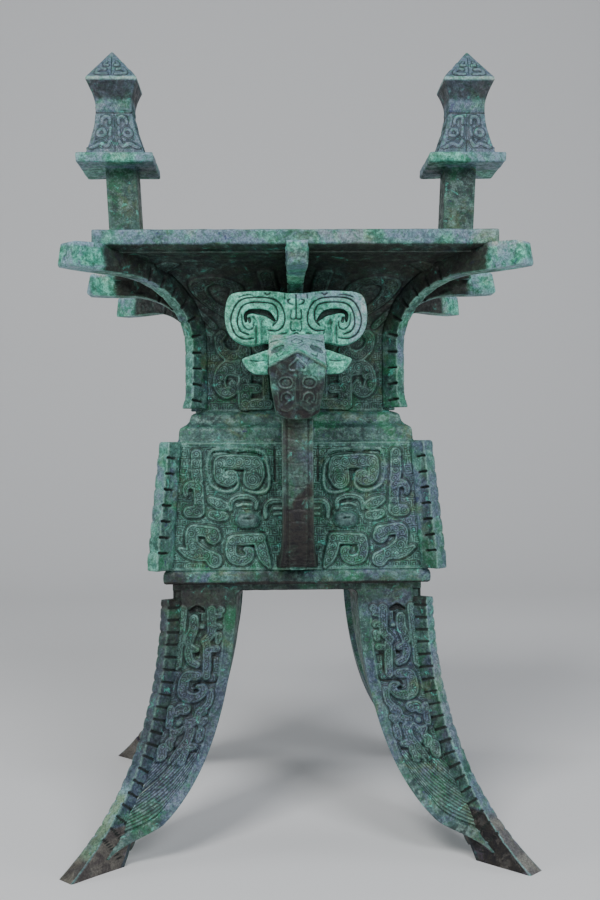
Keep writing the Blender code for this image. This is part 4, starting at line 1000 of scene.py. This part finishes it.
def head():
    """The animal's head with its horn plate and ears, as one remeshed and carved form."""
    low = NECK_Z - 0.0085
    height = 0.0665
    depth = 0.0420
    half = 0.0215
    horn_low = low + height - 0.0085
    horn_back = 0.0480 - BROW_REACH
    horn_half = 0.0550
    horn_height = 0.0420
    ear_low = low + 0.504 * height
    ear_height = 0.0200

    def at(side, share, back, rise):
        return (side * share * half, back * depth - BROW_REACH, low + rise * height)

    points = [at(0, 0, 0.0, 0.775), at(0, 0, 0.26, 0.0), at(0, 0, 0.83, 1.0), at(0, 0, 0.10, 0.30)]
    for side in (-1, 1):
        points += [at(side, *place) for place in (
            (1.0, 0.16, 0.60), (0.94, 0.19, 0.38), (0.76, 0.33, 0.083), (0.40, 0.25, 0.01),
            (1.0, 0.81, 1.0), (0.75, 0.95, 0.045))]
        points += [(side * 0.75 * half, ROOT - NECK_HALF, low + rise * height) for rise in (0.18, 0.91)]
    parts = [hull_object(points)]
    outline = rounded(HORN_OUTLINE, 3)
    outline[[0, -1], 0] = -0.02
    for side in (-1, 1):
        parts.append(slab(outline, lambda u, v, n: (side * u * horn_half, horn_back - n,
                                                    horn_low + v * horn_height), 0.0, 0.0134))
        parts.append(slab(EAR_OUTLINE, lambda u, v, n: (side * u * half, 0.0040 - STRAP_REACH - n,
                                                        ear_low + v * ear_height), -0.0018, 0.0070))
    for part in parts[1:]:
        modified(parts[0], "BOOLEAN", operation="UNION", solver="EXACT", object=part)
    modified(parts[0], "REMESH", mode="VOXEL", voxel_size=0.00062)
    modified(parts[0], "SMOOTH", factor=0.5, iterations=5)
    mesh = baked(parts[0])
    for part in parts:
        bpy.data.objects.remove(part)

    co = read(mesh.vertices, "co").astype(float)
    normal = read(mesh.vertex_normals, "vector")
    loops = read(mesh.loops, "vertex_index", 1, np.int32)
    starts = read(mesh.polygons, "loop_start", 1, np.int32)
    x = np.abs(co[:, 0]) * 1000
    z_head = (co[:, 2] - low) * 1000
    z_horn = (co[:, 2] - horn_low) * 1000
    forward = normal[:, 1] < -0.2
    on_horn = (co[:, 1] > horn_back - 0.0150) & (z_horn > 0.5) & forward
    on_face = (co[:, 1] < horn_back - 0.0150) & forward
    ear = (x > 22.6) & (co[:, 2] < horn_low) & forward
    brow = (normal[:, 2] > 0.35) & (co[:, 1] < horn_back - 0.0160)
    high = np.zeros(len(co))
    for where, up, rows in ((on_horn, z_horn, HORN_CARVING), (on_face, z_head, FACE_CARVING),
                            (ear, (co[:, 2] - ear_low) * 1000, EAR_CARVING), (brow, z_head, BROW_CARVING)):
        high[where] = relief(x[where], up[where], rows)[0]
    _, fields = bare(co[:, 0] * 1000, co[:, 2] * 1000)
    fields["form"][:, 2] = high
    ridge = 0.56 * x + z_head
    within = on_face * (x < 22.3)
    muzzle = smooth((51.0 - ridge) / 1.6) * (normal[:, 1] < -0.3) * within
    above = smooth((ridge - 53.0) / 1.6) * within
    lobes = smooth((x - 38.0) / 14.0) * on_horn + 0.6 * smooth((z_horn - 30.0) / 10.0) * on_horn
    blue = smooth(1.3 * wave(*co.T, 240, 19) - 0.3) * muzzle
    violet = 0.50 * muzzle + 0.35 * above + (0.36 + 0.26 * np.sign(co[:, 0])) * lobes
    fields["tint"] = np.stack([0.45 * above + 0.42 * blue, violet, 0.82 * muzzle - 0.55 * blue], -1)
    facing = np.where(brow, 1.0, smooth((-normal[:, 1] - 0.25) / 0.3))
    shift = high * facing / 1000 + 0.00010 * wave(*co.T, 500, 13)
    co = co + normal * shift[:, None]
    co[:, 1] = np.maximum(co[:, 1], -BROW_REACH - 0.0005)
    made = raw_object("head", co, loops, starts, fields)
    modified(made, "DECIMATE", ratio=0.46)
    made.data = baked(made)
    made.modifiers.clear()
    return made


# Patina, painted shade and painted highlights

def tint_of(co, normal):
    """Shares of light mint, violet and dark for each point, by its place on the vessel and the way it faces.

    The dark share holds painted shade under the caps' eaves, under the flare, just under the base band
    and on faces that look down, as well as dark patina. The light share holds a painted highlight along
    the eaves' edges.

    Mint above 1 turns to cream and violet above 1 to a brown grey.
    """
    x, y, z = co.T
    far = np.maximum(np.abs(x), np.abs(y))
    left = x < 0
    right = x > 0
    flange = far > 0.108
    down = -normal[:, 2]
    under = smooth((down - 0.35) / 0.3)

    def band(low, high, soft=0.004):
        return smooth((z - low) / soft + 0.5) * smooth((high - z) / soft + 0.5)

    post_plate = band(0.560, 0.5705, 0.001)
    body = band(BELLY_Z, SHOULDER_Z)
    # The posts are lighter, and a painted highlight runs along the edge of the caps' eaves
    light = 0.20 * band(0.560, 0.700) + 0.40 * post_plate + 1.2 * band(0.6342, 0.6376, 0.0008)
    light += 0.10 * band(0.483, 0.515, 0.02) + 0.12 * body * (far < 0.108)
    violet = 0.75 * band(0.5700, 0.700) + 0.50 * post_plate
    # Painted shade on the down-facing faces under the caps' eaves; the post stems are darker too
    dark = 0.75 * smooth((down - 0.04) / 0.16) * band(0.6190, 0.6350) + 0.36 * band(0.4840, 0.5575, 0.002)
    dark += 0.06 * band(SHOULDER_Z, NECK_Z + 0.003) * (far < 0.12)
    # The left legs are darker, and just under the base band a painted shadow lies over dark violet patina
    dark += (0.02 + 0.32 * left) * band(0.08, BAND_Z, 0.03) + 0.50 * band(0.1895, BAND_Z, 0.006)
    dark += (0.40 * right + 0.12 * left) * flange * body
    rim_band = band(RIM_Z - 0.002, 0.484, 0.002) * (1 - under)
    tip = smooth((far - 0.1520) / 0.006) * band(0.43, RIM_TOP)
    light += 0.27 * rim_band + 0.75 * tip
    violet += 0.55 * rim_band + 0.35 * tip
    # The neck wall is a little dark, and painted shade deepens it up under the flare, though not on the
    # flange tips
    neck_wall = band(NECK_Z + 0.004, RIM_Z + 0.001, 0.003)
    dark += neck_wall * (0.10 + 0.74 * smooth((z - FLARE_Z + 0.012) / 0.045)) * (1 - tip)
    dark[(far < NECK_HALF - 0.001) & (z > 0.205) & (z < RIM_Z)] = 0.8
    # Painted shade on the faces that look down, under the body and the base band
    dark += 0.8 * under * band(0.150, 0.215)
    violet += 0.20 * band(BAND_Z, BELLY_Z)
    dark += 0.62 * band(BAND_Z, BELLY_Z) * smooth(wave(x, y, z, 90, 17) + 0.6)
    violet += (0.72 - 0.34 * right) * band(0.03, 0.15, 0.06)
    violet += 0.25 * smooth((x - 0.02) / 0.06) * band(0.12, SHOULDER_Z, 0.03)
    dark += 0.35 * band(-0.1, 0.030, 0.02)

    handle = (y < -0.1180) & (np.abs(x) < 0.06) & (z > 0.24) & (z < 0.46)
    horns = handle & (z > 0.386) & (y > -0.1335)
    ears = handle & (np.abs(x) > 0.0222) & ~horns
    brow = handle & (normal[:, 2] > 0.30) & (z > 0.374) & ~horns & ~ears
    light[handle] = 0.05
    dark[handle] = 0.10
    light[horns | ears] = 1.0
    dark[horns | ears] = 0.0
    dark[handle & (z < 0.345)] = 0.24
    light[brow] = 0.70
    violet[brow] = 0.30

    level = np.hypot(normal[:, 0], normal[:, 1])
    foot = (far > 0.125) & (z < 0.10) & (level > 0.2)
    right_way, back_way = (normal[:, k] * np.sign(co[:, k]) / np.maximum(level, 0.05) for k in (0, 1))
    outward = foot * smooth((right_way + back_way - 1.28) / 0.08)
    side = foot * smooth((np.abs(right_way - back_way) - 1.22) / 0.10)
    side = side * smooth((np.where(left, 0.0350, 0.0420) - z) / 0.007)
    one, other = foot & left, foot & ~left
    light[one] = np.maximum(light, 1.8 * outward * smooth((0.062 - z) / 0.012))[one]
    violet[foot] = np.maximum(violet, 1.9 * side)[foot]
    violet[one] += (1.6 * outward * smooth((0.020 - z) / 0.012))[one]
    violet[other] = np.maximum(violet, 1.35 * outward * smooth((0.050 - z) / 0.02))[other]
    dark[other] = np.maximum(dark, 0.80 * side)[other]
    return np.stack([light, violet, dark], 1)


# Materials

def srgb(red, green, blue):
    """A colour given as it looks on a screen, 0 to 255."""
    values = (value / 255 for value in (red, green, blue))
    return (*(v / 12.92 if v <= 0.04045 else ((v + 0.055) / 1.055) ** 2.4 for v in values), 1.0)


def join(value, socket):
    """Link a node's output to an input, or give the input a number or a colour."""
    if isinstance(value, Value):
        socket.id_data.links.new(value.socket, socket)
    else:
        socket.default_value = value


def node(tree, kind, inputs, output=0, **options):
    """Add a node with its options and inputs. It gives one of its outputs."""
    made = tree.nodes.new(kind)
    for key, value in options.items():
        setattr(made, key, value)
    for key, value in inputs.items():
        join(value, made.inputs[key])
    return Value(made.outputs[output])


class Value:
    """A node's output, which can be reckoned with like a number."""

    def __init__(self, socket):
        self.socket = socket
        self.tree = socket.id_data

    def math(self, operation, *others):
        return node(self.tree, "ShaderNodeMath", dict(enumerate((self, *others))), operation=operation)

    def __add__(self, other):
        return self.math("ADD", other)

    def __sub__(self, other):
        return self.math("SUBTRACT", other)

    def __rsub__(self, other):
        return node(self.tree, "ShaderNodeMath", {0: other, 1: self}, operation="SUBTRACT")

    def __mul__(self, other):
        return self.math("MULTIPLY", other)

    def __truediv__(self, other):
        return self.math("DIVIDE", other)

    def ramp(self, low, high, start=0.0, end=1.0):
        """A soft step from start to end, while the value goes from low to high."""
        inputs = dict(enumerate((self, low, high, start, end)))
        return node(self.tree, "ShaderNodeMapRange", inputs, interpolation_type="SMOOTHSTEP")


def mix(share, first, second):
    """A mix of two colours. A tuple of three is a colour as on a screen."""
    first, second = (srgb(*c) if isinstance(c, tuple) and len(c) == 3 else c for c in (first, second))
    return node(share.tree, "ShaderNodeMix", {0: share, 6: first, 7: second}, 2, data_type="RGBA")


def noise(where, scale, detail, rough, warp=0.0):
    """Cloudy noise, about 0.5 on average."""
    inputs = {"Vector": where, "Scale": scale, "Detail": detail, "Roughness": rough, "Distortion": warp}
    return node(where.tree, "ShaderNodeTexNoise", inputs)


def split(tree, name):
    """The three numbers of a point's attribute."""
    vector = node(tree, "ShaderNodeAttribute", {}, "Vector", attribute_name=name)
    return [Value(part) for part in node(tree, "ShaderNodeSeparateXYZ", {0: vector}).socket.node.outputs]


def engraving(edge, ground, across, up, swirl):
    """How deep the fine engraved lines are, 0 to 1, from the attributes of the points."""
    def line(phase):
        return (phase * (2 * math.pi)).math("COSINE").ramp(0.05, 0.75)

    def either(yes, first, second):
        return first * yes + second * (1.0 - yes)

    beside = line(edge / PITCH)
    a, b, weight = swirl
    angle = b.math("ARCTAN2", a) / (2 * math.pi)
    radius = (a * a + b * b).math("SQRT")
    on_band = either(weight.math("GREATER_THAN", 0.98), line(radius / PITCH - angle), beside)

    # Square spirals in staggered cells, each turned the other way from its neighbour
    odd = (up / CELL).math("FLOOR").math("ABSOLUTE").math("MODULO", 2.0)
    shifted = across / CELL + odd * 0.5
    flip = shifted.math("FLOOR").math("ABSOLUTE").math("MODULO", 2.0) * 2.0 - 1.0
    u = (shifted.math("FRACT") - 0.5) * (flip * CELL)
    v = ((up / CELL).math("FRACT") - 0.5) * CELL
    square = u.math("ABSOLUTE").math("MAXIMUM", v.math("ABSOLUTE"))
    spirals = line(square / PITCH + v.math("ARCTAN2", u) / (2 * math.pi))

    on_ground = either(edge.math("LESS_THAN", 1.5 * PITCH), beside, spirals) * ground.ramp(0.3, 0.7)
    lines = either(edge.math("LESS_THAN", 0.0), on_band, on_ground)
    return lines * edge.math("ABSOLUTE").ramp(0.25, 0.55)


def new_material(name):
    """A new material with its node tree and its shader's inputs."""
    material = bpy.data.materials.new(name)
    material.use_nodes = True
    return material, material.node_tree, material.node_tree.nodes["Principled BSDF"].inputs


def patina():
    """Bronze patina with painted shade and painted highlights, read from the points' attributes and from
    noise in the object's space.
    """
    material, tree, shader = new_material("bronze_patina_painted_shade")
    where = node(tree, "ShaderNodeTexCoord", {}, "Object")
    edge, ground, height = split(tree, "form")
    across, up, bend = split(tree, "plan")
    light, violet, dark = split(tree, "tint")
    creamy = light.ramp(1.0, 1.8)
    dusky = violet.ramp(1.0, 1.8)
    light = light.math("MINIMUM", 1.0)
    violet = violet.math("MINIMUM", 1.0)
    raised = height.ramp(0.2, 1.4)
    lines = engraving(edge, ground, across, up, split(tree, "swirl"))

    broad = noise(where, 14.0, 4.0, 0.6, 0.4)
    patches = noise(where, 52.0, 5.0, 0.68, 0.7)
    mottle = noise(where, 170.0, 4.0, 0.75, 0.3)
    grain = noise(where, 700.0, 3.0, 0.75)
    second = noise(where, 27.0, 5.0, 0.68, 0.9)
    flecks = noise(where, 330.0, 2.0, 0.6)
    greens = noise(where, 40.0, 4.0, 0.7, 0.5)
    olives = noise(where, 33.0, 4.0, 0.7, 0.8)
    sparks = noise(where, 120.0, 3.0, 0.7, 0.6)

    mint = light * (patches + mottle * 0.5 + light * 0.25).ramp(0.60, 1.0, 0.35, 1.0)
    mints = mix(mottle.ramp(0.38, 0.62), (44, 146, 118), (128, 230, 204))
    mints = mix(sparks.ramp(0.52, 0.40, 0.0, 0.55), mints, (44, 128, 98))
    violets = (second + violet * 0.30).ramp(0.56, 0.70, 0.0, 0.85) * mottle.ramp(0.30, 0.62, 0.35, 1.0)
    plum = mix(flecks.ramp(0.4, 0.6), (46, 56, 88), (104, 114, 142))
    cream = (broad + mottle * 0.4).ramp(0.72, 0.86, 0.0, 0.8) * (light * violet)
    browns = (broad + dark * 0.28).ramp(0.66, 0.80, 0.0, 0.66) * (1.0 - violet * 0.75)
    dusk = mix(patches.ramp(0.44, 0.56), (88, 80, 76), (124, 118, 108))
    # shade lays near black over the dark share, which holds dark patina as well as painted shade
    shade = dark * sparks.ramp(0.44, 0.64, 1.0, 0.62) * (1.0 - raised * 0.45)
    # worn lightens the ridges: wear of the bronze, with a painted highlight on every ridge as well
    worn = bend.ramp(0.04, 0.32) * (1.0 - dusky * 0.80) * 0.34

    # Layers of colour from the lowest to the top one, each with its share
    colour = mix(patches.ramp(0.38, 0.62), (30, 58, 56), (66, 104, 98))
    for share, layer in (
        (greens.ramp(0.50, 0.64, 0.0, 0.80) * (1.0 - violet * 0.5), (34, 112, 74)),
        (olives.ramp(0.54, 0.66, 0.0, 0.65), (92, 110, 78)),
        (mottle.ramp(0.47, 0.63, 0.0, 0.62), (108, 150, 140)),
        (raised * 0.10, (110, 140, 134)),
        (mint, mints),
        (violets, mix(light, plum, (140, 154, 182))),
        (cream, (186, 184, 158)),
        (creamy * patches.ramp(0.36, 0.56, 0.35, 0.95), (126, 156, 124)),
        (browns, (60, 54, 43)),
        (flecks.ramp(0.54, 0.64, 0.0, 0.50), (32, 100, 66)),
        (sparks.ramp(0.62, 0.70, 0.0, 0.70), (86, 186, 168)),
        (sparks.ramp(0.36, 0.28, 0.0, 0.75), (40, 48, 92)),
        (dusky * 0.92, mix(second.ramp(0.58, 0.66), dusk, (96, 78, 118))),
        (shade, mix(mottle.ramp(0.45, 0.55), (17, 14, 19), (30, 26, 22))),
        (worn, mix(dark, (132, 176, 160), (70, 94, 80))),
        (height.ramp(3.3, 4.4) * 0.75, mix(mottle.ramp(0.4, 0.6), (38, 54, 62), (68, 100, 98))),
    ):
        colour = mix(share, colour, layer)
    speck = grain.ramp(0.34, 0.66, 0.62, 1.30)
    colour = node(tree, "ShaderNodeMix", {0: 1.0, 6: colour, 7: speck}, 2,
                  data_type="RGBA", blend_type="MULTIPLY")

    # Dirt and painted shade in the lines, hollows and pits, and a painted shadow beside the bands
    dirt_and_painted_shade = lines * 0.66
    beside = edge.ramp(0.0, 0.30) * edge.ramp(1.40, 0.70)
    for more in (bend.ramp(-0.04, -0.30) * 0.72, height.ramp(-0.3, -1.3) * 0.93, beside * 0.74):
        dirt_and_painted_shade = dirt_and_painted_shade.math("MAXIMUM", more)
    colour = mix(dirt_and_painted_shade, colour, mix(mottle.ramp(0.4, 0.6), (10, 13, 11), (24, 34, 30)))

    craters = node(tree, "ShaderNodeTexVoronoi", {"Vector": where, "Scale": 260.0}, "Distance")
    pits = craters.ramp(0.0, 0.35, -1.0, 0.0) * mottle.ramp(0.50, 0.64)
    surface = lines * -0.42 + pits * 0.20 + grain * 0.20 + mottle * 0.45
    bump = node(tree, "ShaderNodeBump", {"Strength": 1.0, "Distance": 0.001, "Height": surface})
    join(colour, shader["Base Color"])
    join(mottle.ramp(0.35, 0.65, 0.72, 0.40), shader["Roughness"])
    join(0.45, shader["Specular IOR Level"])
    join(bump, shader["Normal"])
    return material


def bend_of(mesh, co, normal):
    """How sharply the surface bends at each point, per millimetre, above 0 on ridges."""
    a, b = read(mesh.edges, "vertices", 2, np.int32).T
    count = len(co)
    near = np.maximum(np.bincount(a, minlength=count) + np.bincount(b, minlength=count), 1)

    def mean(at_a, at_b):
        return (np.bincount(a, at_b, count) + np.bincount(b, at_a, count)) / near

    side = np.linalg.norm(co[a] - co[b], axis=1) ** 2
    middle = np.stack([mean(column[a], column[b]) for column in co.T], 1)
    bend = np.einsum("ij,ij->i", co - middle, normal) / np.maximum(mean(side, side), 1e-9) / 500
    return mean(bend[a], bend[b])


# Pieces

def dress(piece, material):
    """Give a piece its material and tints, and tie it to the vessel."""
    mesh = piece.data
    co = read(mesh.vertices, "co").astype(float)
    normal = read(mesh.vertex_normals, "vector").astype(float)
    own, plan = (mesh.attributes[name].data for name in ("tint", "plan"))
    tint = np.clip(tint_of(co, normal) + read(own, "vector"), 0.0, 2.0)
    places = read(plan, "vector")
    places[:, 2] = bend_of(mesh, co, normal)
    for data, values in ((own, tint), (plan, places)):
        data.foreach_set("vector", values.astype(np.float32).ravel())
    mesh.materials.append(material)
    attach(piece, "root")
    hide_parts("jia_vessel")


bronze = patina()
for piece in [
    joined("jia_belly", [belly()]),
    joined("jia_base", [base()]),
    joined("jia_neck", [neck()]),
    joined("jia_rim", [rim()]),
    joined("jia_neck_flanges", [neck_flange(q, c) for q in range(4) for c in (False, True)]),
    joined("jia_belly_flanges", [belly_flange(q, c) for q in range(4) for c in (False, True)]),
    joined("jia_legs_front", [leg(q, True) for q in (2, 3)]),
    joined("jia_legs_back", [leg(q, False) for q in (0, 1)]),
    joined("jia_leg_flanges", [leg_flange(q) for q in range(4)]),
    joined("jia_posts", post(-1) + post(1)),
    joined("jia_handle", [strap(), head()]),
]:
    dress(piece, bronze)


# Floor, light and camera

def floor():
    """A pale matt floor with a faint mottle, which curves up into a backdrop."""
    angles = np.arange(1, 13) / 12 * math.pi / 2
    path = [(-3.0, 0.0), (1.4, 0.0), *((1.4 + 0.8 * math.sin(a), 0.8 - 0.8 * math.cos(a)) for a in angles),
            (2.2, 4.0)]
    bm = bmesh.new()
    rows = [[bm.verts.new((x, y, z)) for x in (-4.0, 4.0)] for y, z in path]
    for (a, b), (c, d) in zip(rows, rows[1:]):
        bm.faces.new((a, b, d, c))
    made = from_bmesh("floor", bm)
    made.data.shade_smooth()
    material, tree, shader = new_material("pale_floor")
    cloud = node(tree, "ShaderNodeTexNoise", {"Scale": 3.0})
    join(mix(cloud, (0.776, 0.776, 0.776, 1.0), (0.80, 0.80, 0.80, 1.0)), shader["Base Color"])
    join(0.9, shader["Roughness"])
    made.data.materials.append(material)


def lamp(name, place, target, power, colour=(1.0, 1.0, 1.0)):
    """A square area light that looks at a point on the vessel's axis."""
    data = bpy.data.lights.new(name, "AREA")
    data.shape = "SQUARE"
    data.size = 0.8
    data.energy = power
    data.color = colour
    made = linked(name, data)
    made.location = place
    made.rotation_euler = (Vector((0.0, 0.0, target)) - Vector(place)).to_track_quat("-Z", "Y").to_euler()


floor()
lamp("key", (-0.85, -1.8, 2.1), 0.33, 41.0)
lamp("fill", (0.8, -1.9, 1.6), 0.30, 25.0, (0.93, 0.95, 1.0))
lamp("right", (1.9, -0.2, 0.9), 0.30, 5.0, (0.92, 0.94, 1.0))
lamp("left", (-1.9, -0.2, 0.9), 0.30, 6.0)

world = bpy.data.worlds.new("studio")
world.use_nodes = True
background = world.node_tree.nodes["Background"].inputs
background["Color"].default_value = (0.8, 0.85, 0.9, 1.0)
background["Strength"].default_value = 0.27
bpy.context.scene.world = world

camera_data = bpy.data.cameras.new("camera")
camera_data.lens = 46.0
camera_data.sensor_width = 36.0
camera = linked("camera", camera_data)
camera.location = (-0.0232, -1.018, 0.320)
camera.rotation_euler = Euler([math.radians(angle) for angle in (89.65, 0.45, -1.64)], "XYZ")
bpy.context.scene.camera = camera
